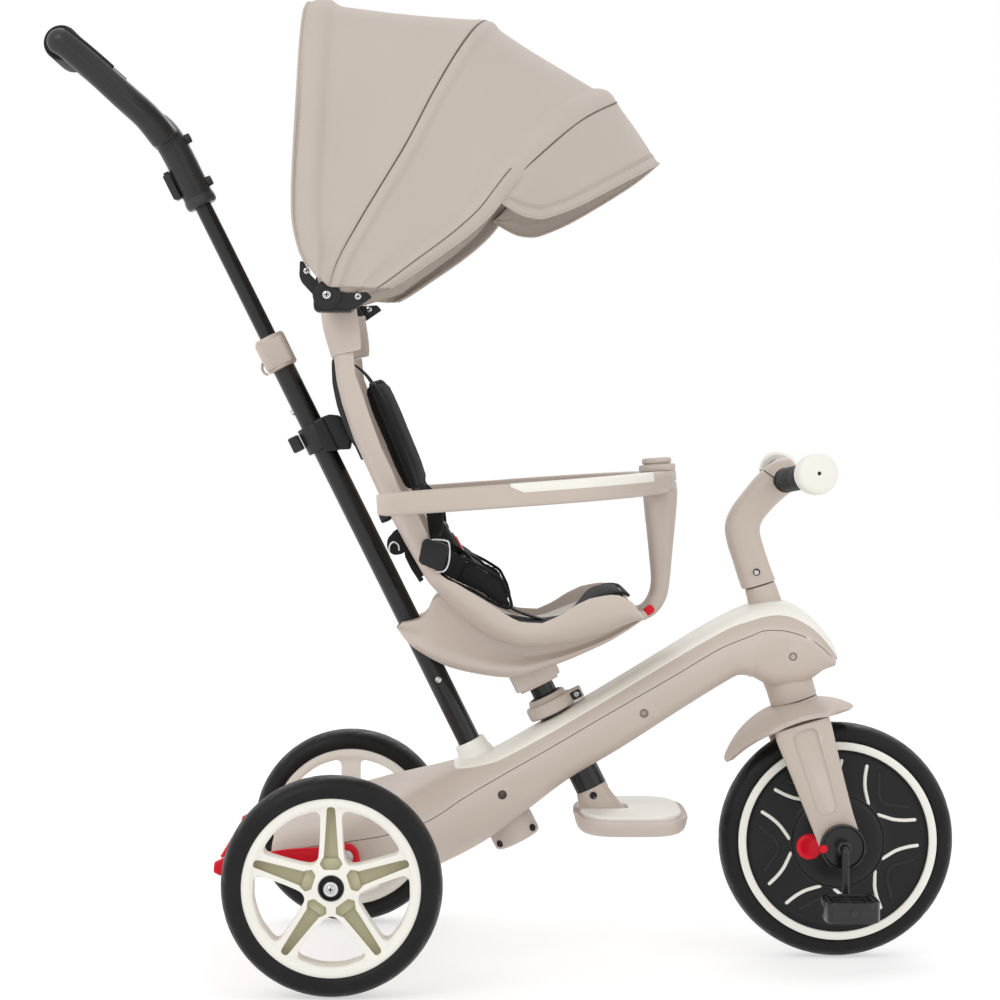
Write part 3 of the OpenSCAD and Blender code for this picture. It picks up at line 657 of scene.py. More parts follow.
# Top, trim edge, seam and bottom of the beam's side outline, then half its width
BEAM = [
    (-65, 145, -65, 140, -65, 133, -65, 114, 148),
    (-60, 152, -60, 146, -60, 134, -60, 102, 160),
    (-46, 159, -46, 152, -46.5, 137, -47, 91, 165),
    (-10, 168, -10, 160, -11.5, 142, -14, 85, 166),
    (22, 177, 22, 168, 21, 146.5, 20, 86, 165),
    (50, 186, 52, 176, 54, 150.5, 62, 93, 150),
    (80, 196, 85, 186, 94, 158, 110, 107, 104),
    (113, 206, 119, 195, 130, 176.5, 157, 129, 64),
    (160, 220, 164.5, 211.5, 172, 199, 197, 157.5, 46),
    (210, 247.5, 215.5, 237.8, 222, 227, 243, 192, 42),
    (262, 276.5, 266.5, 268, 273, 257, 294, 222, 42),
    (338, 322.5, 343, 314, 350, 301.5, 369, 270, 42),
    (384, 350.5, 389.5, 340.8, 396, 329, 413, 297, 42),
    (410, 364.5, 413.5, 353, 416, 338, 424, 301, 41.5),
    (430, 373.5, 432, 359, 434, 344.5, 436, 299, 41),
    (450, 378.5, 449, 363.5, 449, 349, 438, 298.5, 39),
    (466, 379, 463, 365, 461, 350, 449, 292.5, 37),
    (480, 376, 476, 362.5, 473, 348.5, 462, 288, 34.5),
    (498, 363, 493, 353.5, 492, 342, 482, 289, 31),
    (512, 348.5, 507.5, 341, 507, 332.5, 500, 297, 25),
    (522, 334.5, 519, 328.5, 518, 323, 513, 305.5, 16),
    (528.5, 321, 528, 318, 527.5, 315.5, 526, 310, 6),
]
TRIM_FROM, TRIM_STEPS = 7, 6
BEAM_POWER, BAND_POINTS = 3.6, 14
SEAM_GAP, SEAM_LIP = 0.35, 3.0
SIDE_SCREWS = ((170.5, 178), (320, 263), (478, 322))


def beam_ring(row, low, high, grow=0.0):
    """Points across the beam between two shares of its depth, on one side from high to low and back up."""
    tx, tz, bx, bz, half = row[0], row[1], row[6], row[7], row[8]

    def share_angle(share):
        c = 1 - 2 * share
        return math.acos(max(-1.0, min(1.0, signed_power(c, BEAM_POWER / 2))))
    ts, te = share_angle(low), share_angle(high)
    made = []
    for k in range(BAND_POINTS + 1):
        t = ts + (te - ts) * k / BAND_POINTS
        c, s = signed_power(math.cos(t), 2 / BEAM_POWER), abs(math.sin(t)) ** (2 / BEAM_POWER)
        share = (1 - c) / 2
        made.append((tx + (bx - tx) * share, tz + (bz - tz) * share, (half + grow) * s))
    return made


def share_of(row, i):
    """How far down the beam's depth a listed point lies."""
    top, low = Vector(row[0:2]), Vector(row[6:8])
    p = Vector(row[i:i + 2])
    d = low - top
    return max(0.02, min(0.98, (p - top).dot(d) / d.length_squared))


def beam_band(name, rows, low_of, high_of, material, node):
    """One moulding of the beam, between two lines along its side, with lips turned in at its edges."""
    shape = Shape()
    rings = []
    for row in rows:
        low, high = low_of(row), high_of(row)
        depth = (Vector(row[6:8]) - Vector(row[0:2])).length
        if low > 0:
            low = min(low + SEAM_GAP / depth, high - 0.01)
        if high < 1:
            high = max(high - SEAM_GAP / depth, low + 0.01)
        right = beam_ring(row, low, high)
        if low > 0:
            x, z, y = right[0]
            right.insert(0, (x, z, max(y - SEAM_LIP, 0.5)))
        if high < 1:
            x, z, y = right[-1]
            right.append((x, z, max(y - SEAM_LIP, 0.5)))
        open_top = low <= 0
        left = [(x, z, -y) for x, z, y in right]
        ring = left[::-1] + right[1 if open_top else 0:] if open_top else left + right[::-1]
        rings.append([design(x, y, z) for x, z, y in ring])
    shape.add([p for ring in rings for p in ring], grid_faces(len(rings), len(rings[0])))
    shape.faces.append(tuple(range(len(rings[0]) - 1, -1, -1)))
    shape.slots.append(0)
    return piece(name, shape, material, "frame", node,
                 thick=2.5, angle=32.0)


def make_frame():
    rows = smooth_rows(BEAM, TRIM_STEPS)
    lower = beam_band("beam_lower_shell", rows, lambda r: share_of(r, 4), lambda r: 1.0, BEIGE,
                      "frame_lower_shell")
    holes = Shape()
    for x, z in SIDE_SCREWS:
        holes.lathe(plug(4.9, -70, 70), turned(design, (x, 0, z), (0, 1, 0)),
                    28)
    cut(lower, object_from("hole_cutter", holes, [BEIGE]))
    beam_band("beam_upper_shell", rows, lambda r: 0.0, lambda r: share_of(r, 4), BEIGE, "frame_upper_shell")
    trim = Shape()
    rings = []
    trim_rows = rows[TRIM_FROM * TRIM_STEPS + 1:]
    for i, row in enumerate(trim_rows):
        near_end = min(1.0, i / 5)
        high = share_of(row, 2) * (0.3 + 0.7 * near_end)
        right = beam_ring(row, 0.0, high, grow=1.1)
        up = (Vector(row[0:2]) - Vector(row[6:8])).normalized() * 1.1
        ring = [(x + up.x, z + up.y, -y) for x, z, y in right[::-1]] + [(x + up.x, z + up.y, y) for x, z,
            y in right[1:]]
        rings.append([design(x, y, z) for x, z, y in ring])
    trim.add([p for ring in rings for p in ring], grid_faces(len(rings), len(rings[0])))
    piece("beam_trim", trim, CREAM, "frame", "frame_top_trim", thick=2.2, bevel=0.5,
          angle=40.0)

    socket = Shape()
    socket.lathe([(12.2, 84), (20.5, 84), (21.0, 96), (19.5, 108), (17.2, 114), (16.6, 121), (15.4, 122.4),
                  (12.2, 122.4)], on_bar, 48, closed=True)
    piece("bar_socket", socket, CREAM, "frame", bevel=0.3)

    head = Shape()
    head.lathe([(14, 155.4), (24.8, 155.4), (25.3, 156.2), (25.4, 172), (26.4, 182), (29.0, 192),
                (29.5, 204), (14, 204)], on_steering, 56, closed=True)
    head.lathe([(12, 236), (20.5, 236), (19.0, 250), (17.8, 262), (17.0, 275), (16.6, 282.2), (15.8, 283),
                (12, 283)],
               on_steering, 48, closed=True)
    piece("head_collars", head, BEIGE, "frame")

    make_fasteners()
    make_boss()
    make_clamp()
    make_collar()
    make_footrest_column()
    paint("head_bushes", BLACK)
    paint("seat_tube", TUBE)
    paint("rear_axle", STEEL)


def make_fasteners():
    """Screws in the beam's side, under the boss, on the rear hubs and at the brake's pivots."""
    shape = Shape()
    for x, z in SIDE_SCREWS:
        for side in SIDES:
            half = 42.0 if x < 400 else 35.5
            wall = outward(side, x, half, z)
            shape.lathe([(4.8, -9), (6.2, -9), (6.2, -2.6), (4.8, -2.6)], wall, 32, 2, closed=True)
            shape.lathe([(AXIS, -9), (6.0, -9), (6.0, -6.6), (3.2, -6.4), (2.8, -5.4), (AXIS, -5.2)], wall,
                        24, 2)
    for side in SIDES:
        hub = turned(design, (0, side * (TRACK / 2 + 23.0), REAR_R), (0, side, 0))
        washer(shape, hub, 2.0, 7.2, 1.3, 0)
        screw_head(shape, turned(design, (0, side * (TRACK / 2 + 24.0), REAR_R), (0, side, 0)), 4.4, 2.8, 0,
                   1)
        shape.lathe([(4.3, -14), (4.3, 7), (7.5, 7), (7.2, 8.6), (AXIS, 9.2)],
                    outward(side, 12, 170, 131.5), 28, 0)
    for x in (-17, 17):
        screw_head(shape, turned(on_bar, (x, 0, 4.2), (0, 0, -1)), 3.6, 1.8, 0, 1)
    rivet = turned(on_bar, (0, -11.4, 196), (0, -1, 0))
    shape.lathe([(AXIS, 0), (3.4, 0), (3.2, 0.9), (2.0, 1.5), (AXIS, 1.7)], rivet, 20, 0)
    piece("frame_screws", shape, [STEEL, BLACK, BEIGE], "frame", "frame_fasteners")


def make_boss():
    shape = Shape()
    shape.lathe([(12.2, 3.6), (22.5, 3.6), (25.0, 5.5), (25.6, 9), (25.6, 26), (24.4, 30), (12.2, 30)],
                on_bar, 64,
                closed=True)
    for x in (-17, 17):
        shape.lathe([(AXIS, 3.0), (5.4, 3.0), (6.2, 4.4), (6.2, 8), (AXIS, 8)],
                    moved(on_bar, x, 0, 0), 28)
    for side in SIDES:
        for x, depth in ((19.4, 16.4), (-18.6, 17.2)):
            hole = turned(on_bar, (x, side * depth, 11), (x / 30, side * 0.8, 0))
            shape.lathe([(AXIS, -2), (4.0, -2), (4.0, 1.1), (3.2, 1.5), (3.0, 0.6), (AXIS, 0.6)], hole, 24, 1)
    piece("bar_boss_moulding", shape, [BEIGE, BLACK], "frame", "bar_boss", bevel=0.4)


def make_clamp():
    """The split ring that grips the seat post, with its flange, lug and bolt."""
    shape = Shape()
    ring = [(13.6, 86), (24.8, 86), (26.2, 87.4), (26.2, 98.4), (25.0, 100), (21.0, 100.4), (20.6, 104.6),
            (19.4, 106), (13.6, 106)]
    shape.lathe(ring, on_post, 72, closed=True)
    for k in range(20):
        t = 2 * math.pi * k / 20
        rib = [(25.6 * math.cos(t), 25.6 * math.sin(t), h) for h in (88.5, 97.3)]
        shape.tube([on_post(*rib[0]), on_post(*rib[1])], 0.9 * MM, 8)
    lug = rounded([(18, -13), (37, -11), (37, 11), (18, 13)], 4)
    shape.prism(lug, 87, 99, on_post, 1.2)
    shape.prism(panel_outline(6, 4.4, 2), 0, 0.6,
                turned(on_post, (29, -11.8, 93), (0, -1, 0)), 0.2, 1)
    screw_head(shape, turned(on_post, (30, -12.1, 93), (0, -1, 0)), 3.2, 1.8, 2, 1)
    shape.lathe([(13.6, 105.5), (17.6, 105.5), (17.4, 106.6), (16.6, 107.2), (13.6, 107.2)], on_post, 48, 1,
                closed=True)
    piece("seat_clamp_ring", shape, [BEIGE, BLACK, STEEL], "frame", "seat_clamp", bevel=0.3)


def make_collar():
    """The moulding at the lower tube's top, with the hook that holds the harness strap."""
    shape = Shape()
    shape.lathe([(12.1, 566), (14.6, 566), (16.4, 567.6), (16.6, 600), (15.0, 603), (9.1, 603), (9.1, 590),
                 (12.1, 588)], on_bar, 56,
                closed=True)
    shape.prism(rounded([(-17, -15), (-12, -17), (12, -17), (15, -14), (15, 14), (12, 17), (-12, 17),
                         (-17, 15)], 4),
                569.0, 599, on_bar, 1.6)
    hook = [on_bar(x, 0, z) for x, z in ((-15, 581), (-18.4, 580), (-21.4, 575), (-21.0, 569.5), (-18, 567))]
    shape.sweep(resample(hook, 14), [(x * MM, y * MM) for x, y in oval(1.3, 5.4, 3.2, 20)])
    piece("bar_collar_moulding", shape, BEIGE, "frame", "bar_collar", bevel=0.4)


def make_footrest_column():
    shape = Shape()
    rows = [(250.5, 173.5, 281.4, 188, 18.5), (251.3, 168, 283.6, 182, 19), (252.6, 160, 288.6, 174.5, 19.5),
            (254, 152, 295, 166.5, 20), (253.5, 145, 300, 160, 20), (252, 140, 303, 157.6, 19)]
    rings = [[design(x, y, z) for x, y, z in across(row, 2.6, 40)] for row in smooth_rows(rows, 4)]
    shape.rings(rings)
    for side in SIDES:
        hole = outward(side, 267.5, 18.8, 173.5)
        shape.lathe([(AXIS, -2), (4.0, -2), (4.0, 0.9), (3.2, 1.2), (3.0, 0.4), (AXIS, 0.4)], hole, 24, 2)
    stop = rounded([(268, 134), (279, 131.5), (284, 133), (284, 150), (266, 148)], 2.5, 4)
    shape.prism(stop, -11, 11, side_place(0, 1), 1.0)
    piece("footrest_bracket", shape, [BEIGE, STEEL, BLACK], "frame", "footrest_column",
          bevel=0.6)


def across(row, power=3.0, count=36, y0=0.0):
    """An oval across the tricycle between two points of a side outline: (x1, z1, x2, z2, half width)."""
    ax, az, bx, bz, half = row[:5]
    made = []
    for k in range(count):
        t = 2 * math.pi * k / count
        c, s = signed_power(math.cos(t), 2 / power), signed_power(math.sin(t), 2 / power)
        made.append((ax + (bx - ax) * (1 - c) / 2, y0 + half * s, az + (bz - az) * (1 - c) / 2))
    return made


def domed(rings, depth, first=True):
    """Adds shrinking rings to a loft's ends, so that they close in a soft dome."""
    made = list(rings)
    for at_end in (False, True) if first else (True,):
        ring, inner = (rings[-1], rings[-2]) if at_end else (rings[0], rings[1])
        centre = sum(ring, Vector()) / len(ring)
        out = (centre - sum(inner, Vector()) / len(inner)).normalized() * depth * MM
        for size, push in ((0.97, 0.3), (0.88, 0.62), (0.7, 0.86), (0.42, 0.98), (0.12, 1.0)):
            new = [centre + (p - centre) * size + out * push for p in ring]
            made = made + [new] if at_end else [new] + made
    return made


def make_brake():
    """The red lever across the rear: two rounded arms and a ribbed bar that the foot presses."""
    shape = Shape()
    rows = [(-119, 127, -120, 115, 4), (-108, 131, -112, 112, 4.4), (-82, 134, -84, 111, 4.5),
            (-45, 139.5, -46, 112, 4.5),
            (-12, 141, -14, 113, 4.6), (6, 140.5, 4, 113.5, 4.6), (18, 138.5, 18, 115.5, 4.5),
            (24, 132, 24, 122, 4)]
    for side in SIDES:
        rings = [[design(*p) for p in across(row, 3.4, 32, side * 171.6)] for row in smooth_rows(rows, 5)]
        shape.rings(domed(rings, 2.0))
        shape.lathe([(AXIS, -6), (11, -6), (13, -4.5), (13, 4), (11.5, 5.6), (AXIS, 5.8)],
                    outward(side, 12, 171.5, 131.5), 40)
    section = [(x * MM, y * MM) for x, y in rounded([(-12, -8.2), (11, -10), (13, -2), (11.5, 8.5),
                                                     (-10, 7.5)], 5)]
    line = [design(-106.5, y, 121) for y in range(-172, 173, 8)]
    shape.sweep(line, section, up=(0, 0, 1))
    for k in range(-9, 10):
        y = k * 16.0
        shape.tube([design(-117, y, 128.2), design(-108, y, 130.0), design(-98, y, 130.4)], 1.2 * MM, 8)
    piece("brake_lever", shape, RED, "brake", "brake_pedal", angle=40.0)


# ---------------------------------------------------------------- wheels

GROOVE_DEPTH, GROOVE_HALF = 1.3, 3.6
TYRE_POINTS = 360


def tyre(name, place, outer, half_w, inner, body, node, blocks):
    """A foamed tyre whose shoulders carry long slanting grooves."""
    half = [(inner, half_w - 3.0), (inner + 1.6, half_w - 1.0), (inner + 5, half_w - 0.1),
            (inner + 9, half_w - 0.2),
            (outer - 7.6, half_w - 1.8), (outer - 4.6, half_w - 4.6), (outer - 2.6, half_w - 8.0),
            (outer - 1.2, half_w - 12.0), (outer - 0.4, half_w - 16.5), (outer, half_w - 21.0)]
    profile = half + [(r, -h) for r, h in half[::-1][1:]]
    profile += [(inner - 1.5, -half_w + 5), (inner - 1.5, half_w - 5)]
    rings = []
    for r, h in profile:
        ring = []
        for k in range(TYRE_POINTS):
            t = 2 * math.pi * k / TYRE_POINTS
            lateral = abs(h) / half_w
            drop = 0.0
            if 0.2 < lateral < 0.93 and r > inner + 4:
                run = (lateral - 0.2) / 0.73
                lean, shift = (1, 0) if h > 0 else (-1, 0.5)
                phase = (t * blocks / (2 * math.pi) - run * 0.5 * lean + shift) % 1.0
                fade = min(1.0, run * 5, (1 - run) * 5)
                away = abs(phase - 0.5) * 2 * math.pi * outer / blocks
                drop = GROOVE_DEPTH * max(0.0, 1 - away / GROOVE_HALF) * fade
            ring.append(place((r - drop) * math.cos(t), (r - drop) * math.sin(t), h))
        rings.append(ring)
    shape = Shape()
    shape.rings(rings, wrap=True)
    return piece(name, shape, TYRE, body, node, angle=50.0)


def rear_wheel(side):
    label = side_name(side)
    body = "rear_wheel_" + label
    place = outward(side, 0, TRACK / 2, REAR_R)
    tyre("rear_tyre_" + label + "_moulding", place, REAR_R, 22.0, 89.0, body, "rear_tyre_" + label, 14)
    half = [(89.2, 17.6), (88.6, 18.8), (86.5, 19.3), (81.5, 18.6), (79.6, 17.6), (77.6, 15.6), (72, 14.4),
            (45, 13.6),
            (26, 14.6), (19, 16.6), (16, 17.6), (13.4, 17.8), (12.6, 16.6), (12.4, 13.6), (6.1, 13.6)]
    shape = Shape()
    shape.lathe(half + [(r, -h) for r, h in half[::-1]], place, 120, closed=True)
    rim = object_from("rear_rim_" + label + "_moulding", shape, [CREAM])
    step = 2 * math.pi / 5
    gaps, slots, shields = Shape(), Shape(), Shape()
    slot = rounded([(28.6, -7.4), (80.4, -3.9), (80.4, 3.9), (28.6, 7.4)], [0.4, 3.7, 3.7, 0.4], 5)
    shield = rounded([(18.2, -7.4), (23.6, -11.4), (30.4, -8.0), (30.4, 8.0), (23.6, 11.4), (18.2, 7.4)],
                     1.4, 4)
    for k in range(5):
        a, b = math.pi / 2 + step * k, math.pi / 2 + step * (k + 1)
        outline = [spun(23.0, 0.0, (a + b) / 2), spun(47, 11.0, a), spun(78.0, 10.3, a)]
        outline += [spun(78.2, 0.0, a + (b - a) * (0.345 + 0.31 * i / 8)) for i in range(9)]
        outline += [spun(78.0, -10.3, b), spun(47, -11.0, b)]
        radius = [15.0, 10.0, 11.0] + [0.5] * 9 + [11.0, 10.0]
        gaps.prism(rounded(outline, radius, 7), -30, 30, place)
        slots.prism([spun(x, y, a) for x, y in slot], 5.5, 30, place)
        shields.prism([spun(x, y, a) for x, y in shield], 9.5, 30, place)
    cut(rim, object_from("gap_cutter", gaps, [CREAM]))
    # The pockets' walls and floors take the olive cream, which paints the shade inside them.
    cut(rim, object_from("shield_cutter", shields, [RECESS_SHADE_CREAM]))
    cut(rim, object_from("slot_cutter", slots, [RECESS_SHADE_CREAM]))
    bevel_edges(rim, 0.7, 2, 42)
    apply_modifiers(rim)
    soften(rim, 42.0)
    settle(rim, body, "rear_rim_" + label)
    seat = Shape()
    seat.lathe([(6.2, 13.0), (12.3, 13.0), (12.3, 17.9), (11.6, 18.2), (10.8, 17.0), (10.4, 15.0),
                (6.2, 15.0)],
               place, 40, closed=True)
    piece("rear_hub_seat_" + label, seat, BLACK, body)


RIB_LINE = ((50.5, 28.5), (57.0, 20.5), (64.3, 14.8), (75.0, 11.0), (87.0, 9.1))
CHEVRON = ((84.0, 16.5), (74.0, 11.6), (67.0, 7.5), (63.5, 2.0), (63.5, -2.0), (67.0, -7.5), (74.0, -11.6),
           (84.0, -16.5))


def disc_height(r):
    """How far the front wheel's disc stands out of its middle plane."""
    table = ((0, 28), (20, 28), (40, 26.6), (46, 24.8), (50, 21.2), (56, 19.4), (70, 18.0), (91, 17.4),
             (96, 19.4))
    for (r0, h0), (r1, h1) in zip(table, table[1:]):
        if r <= r1:
            return h0 + (h1 - h0) * (r - r0) / (r1 - r0)
    return table[-1][1]


def front_wheel():
    place = about(WHEELBASE, 0, FRONT_R)
    tyre("front_tyre_moulding", place, FRONT_R, 22.0, 105.4, "front_wheel", "front_tyre", 12)
    half = [(106, 15), (105.6, 20.2), (104.8, 20.8), (97.6, 20.8), (96.8, 20.2), (95.6, 19.0), (93.5, 17.6),
            (91, 17.4),
            (80, 17.6), (70, 18.0), (60, 18.8), (54, 19.8), (50.4, 21.2), (48.4, 23.4), (46.6, 25.0),
            (44, 25.9),
            (36, 27.0), (24, 27.9), (12, 28.2), (5.1, 28.2)]
    disc, cream = Shape(), Shape()
    disc.lathe(half + [(r, -h) for r, h in half[::-1]], place, 144, closed=True)
    for sign in (1, -1):
        ring = [(96.9, 20.4), (97.5, 22.2), (98.4, 22.6), (104.4, 22.6), (105.2, 22.2), (105.6, 20.4)]
        cream.lathe([(r, sign * h) for r, h in ring], place, 144, closed=True)
        disc.lathe([(r, sign * h) for r, h in ((49.0, 22.0), (49.6, 23.2), (50.6, 22.6), (50.9, 20.8))],
                   place, 96,
                   closed=True)
        for k in range(5):
            for turn, line, material in [(5.75, RIB_LINE, 0), (5.75, [(r, -a) for r, a in RIB_LINE], 0),
                                         (41.75, CHEVRON, 1)]:
                points = []
                for r, a in line:
                    t = math.radians(turn + 72 * k + a)
                    points.append(place(r * math.cos(t), r * math.sin(t), sign * (disc_height(r) + 0.1)))
                path = resample(smooth_line(points, 5), 48)
                if material == 0:
                    section = [(x * MM, y * MM) for x, y in oval(1.9, 1.5, 2.6, 14)]
                    blunt = [(0.5, 0.5), (0.88, 0.9)]
                    ends = blunt + [(1.0, 1.0)] * 44 + blunt[::-1]
                    cream.sweep(path, section, up=(0, 1, 0), scales=ends)
                else:
                    section = [(x * MM, y * MM) for x, y in oval(1.6, 0.9, 2.2, 10)]
                    disc.sweep(path, section, up=(0, 1, 0))
    piece("front_disc_moulding", disc, BLACK, "front_wheel", "front_discs", angle=30.0)
    piece("front_wheel_inlays", cream, CREAM, "front_wheel", "front_inlays")

    knob = Shape()
    at_knob = about(WHEELBASE - 31, 0, FRONT_R - 5)
    knob.lathe([(AXIS, 20), (13.0, 20), (13.5, 21), (13.6, 28.4), (12.2, 30.2), (10.6, 31.0), (8.6, 30.6),
                (7.6, 30.0),
                (AXIS, 29.6)], at_knob, 48)
    piece("clutch_knob", knob, RED, "clutch", "clutch_button")


def crank_set():
    shape = Shape()
    for side in SIDES:
        line = [(0, 30), (0, 80), (0, 84.5), (-1.5, 87.2), (-4.5, 88.4), (-12, 88.6), (-44, 88.6),
                (-50.5, 88.8),
                (-53.6, 90.2), (-55, 93.5), (-55, 99), (-55, 158)]
        path = [design(WHEELBASE, side * y, FRONT_R - side * z) for z, y in line]
        shape.tube(smooth_line(path, 5), 4.0 * MM, 20)
        nut = outward(side, WHEELBASE, 66, FRONT_R)
        shape.prism(oval(8.2, 8.2, 2, 6), 4.2, 10.4, nut, 0.8)
        shape.lathe([(5, 10), (7.4, 10), (7.2, 14.5), (5, 15.5)], nut, 24, closed=True)
    piece("crank_rod", shape, GLOSS_BLACK, "cranks", "crank")


def pedal(side):
    """A pedal with an open rim, cross ribs, a spindle barrel and raised tread bars."""
    label = side_name(side)
    y0, z0 = side * (CRANK_Y + 4.5 + 32), FRONT_R + side * CRANK_LEN
    at = moved(leaning(WHEELBASE, z0, 0.0), 0, y0, 0)
    shape = Shape()
    outer, inner = oval(28.4, 31.2, 5, 56), oval(24.6, 27.4, 5, 56)
    soft = [[at(x, y, z) for x, y in outline] for outline, z in
            ((oval(27.6, 30.4, 5, 56), -10.6), (outer, -9.4), (outer, 9.4), (oval(27.6, 30.4, 5, 56), 10.6),
             (oval(25.4, 28.2, 5, 56), 10.6), (inner, 9.8), (inner, -9.8), (oval(25.4, 28.2, 5, 56), -10.6))]
    shape.rings(soft, wrap=True)
    shape.tube([at(0, -29, 0), at(0, 29, 0)], 7.4 * MM, 28)
    for x in (-16.5, 16.5):
        shape.prism(panel_outline(1.5, 8.4, 0.8), -28, 28,
                    turned(at, (x, 0, 0), (0, 1, 0)), 0.3)
    for y in (-18, 0, 18):
        shape.prism(panel_outline(25.6, 1.4, 0.8), -7.8, 7.8,
                    moved(at, 0, y, 0), 0.3)
    for x in (-24.4, 24.4):
        for k in range(-3, 4):
            shape.lathe(plug(2.6, -9.8, 9.8),
                        moved(at, x, k * 7.4, 0), 12)
    piece("pedal_" + label + "_moulding", shape, GLOSS_BLACK, label + "_pedal",
          "pedal_" + label,
          bevel=0.25)


# ---------------------------------------------------------------- fork, mudguard, stem and handlebar

LEG = [(-12, 12, -20.5, 6.4), (-18, 18, -14, 7.0), (-21.8, 21.4, -4, 7.2), (-23, 21.6, 8, 7.4),
       (-25, 21.4, 30, 7.6),
       (-27.4, 22.2, 56, 7.8), (-30, 23.6, 84, 8.2), (-32.6, 25.2, 108, 8.6), (-34, 26.2, 124, 9.0),
       (-33, 26, 134, 9.0)]


def make_fork():
    shape = Shape()
    for side in SIDES:
        rings = []
        for xa, xb, z, half in smooth_rows(LEG, 5):
            rings.append([on_steering(x, y, z) for x, y in
                          oval((xb - xa) / 2, half, 3.6, 56, (xa + xb) / 2, side * 52.6)])
        shape.rings(domed(rings, 1.2))
    obj = object_from("fork_legs", shape, [BEIGE])
    grooves = Shape()
    for side in SIDES:
        face = turned(on_steering, (-4.2, side * 60.2, 82), (0, side, 0))
        grooves.prism(rounded([(-13.6, 47), (-10.6, -46), (10.6, -46), (13.6, 47)], 9.5, 8), -1.2, 9, face,
                      0.0)
    cut(obj, object_from("leg_cutter", grooves, [BEIGE]))
    bevel_edges(obj, 1.8, 4, 35)
    apply_modifiers(obj)
    soften(obj, 40.0)
    settle(obj, "steering", "fork")

    more = Shape()
    crown = []
    rows = ((127.6, 24, 52, -2), (134, 25, 54, -2), (140, 25.4, 44, -1.4), (146, 25.4, 33, -0.8),
            (150, 25.3, 27.5, -0.2), (153.4, 25.2, 25.2, 0.0), (154.0, 24.4, 24.4, 0.0))
    for z, fore, wide, cx in smooth_rows(rows, 4):
        power = 2.0 + 1.6 * max(0.0, min(1.0, (150 - z) / 16))
        crown.append([on_steering(x, y, z) for x, y in oval(fore, wide, power, 64, cx, 0.0)])
    more.rings(crown)
    piece("fork_crown", more, BEIGE, "steering")
    make_mudguard()
    make_fork_caps()


# Degrees forward of the steering axis, radius at the middle, radius at the edge and half width
MUDGUARD = [(-37.2, 143.6, 141.6, 7), (-36, 146, 141.5, 13), (-30, 150, 141, 26), (-23, 153, 141, 44),
            (-15, 154.5, 141, 62), (-7.5, 154.5, 140.8, 65), (0, 153, 140.4, 65), (5, 151.5, 140, 65),
            (11, 149.6, 139.6, 63), (16, 148, 139.4, 46), (20, 145.5, 140, 27), (22.6, 143.4, 141, 14),
            (23.4, 142.4, 141.4, 7)]


def make_mudguard():
    """A saddle over the wheel, wide under the steering head and drawn out to a tip at each end."""
    table = smooth_rows(MUDGUARD, 6)
    cols = 33
    shape = Shape()
    points = []
    for degrees, crown_r, edge_r, half in table:
        t = math.radians(degrees)
        for j in range(cols):
            a = -1 + 2 * j / (cols - 1)
            r = crown_r - (crown_r - edge_r) * abs(a) ** 2.2
            points.append(on_steering(r * math.sin(t), half * a, r * math.cos(t)))
    shape.add(points, grid_faces(len(table), cols))
    obj = object_from("mudguard_moulding", shape, [BEIGE])
    mod = obj.modifiers.new("thickness", "SOLIDIFY")
    mod.thickness, mod.offset = 5.0 * MM, 0.0
    bevel_edges(obj, 2.0, 4, 50)
    apply_modifiers(obj)
    soften(obj, 40.0)
    settle(obj, "steering", "mudguard")


def make_fork_caps():
    shape = Shape()
    for side in SIDES:
        place = outward(side, WHEELBASE, 60, FRONT_R)
        shape.lathe([(5.4, -0.5), (22.8, -0.5), (23.9, 1.0), (24, 9.0), (23.2, 10.6), (22.0, 11.0),
                     (21.2, 10.4),
                     (20.6, 8.2), (12, 7.4), (5.4, 7.4)], place, 64, closed=True)
        shape.lathe([(AXIS, 3), (3.9, 3), (4.5, 4.4), (4.5, 10.4), (3.7, 11.7), (AXIS, 12.1)],
                    moved(place, -20.6, -1.5, 0), 24, 1)
    piece("fork_cap_mouldings", shape, [GLOSS_BLACK, RED], "steering", "fork_caps")


STEM = [(-18.6, 284.4, 17.0, 284.4, 17.8), (-19.3, 285.6, 17.6, 285.6, 18.3), (-19.8, 294, 16.6, 294, 18.2),
        (-20.2, 316, 15.6, 318, 17.4),
        (-20.4, 336, 16.2, 337, 17.8), (-17.5, 354, 21, 347, 18.4), (-7, 369, 30, 354, 19.4),
        (9, 381.5, 41, 360.5, 20.8),
        (26, 393, 52.5, 366, 22.4), (43, 402.2, 62, 370, 23.4), (56, 406.4, 69, 375.5, 23.6),
        (65.5, 405, 73.5, 385, 22.4)]


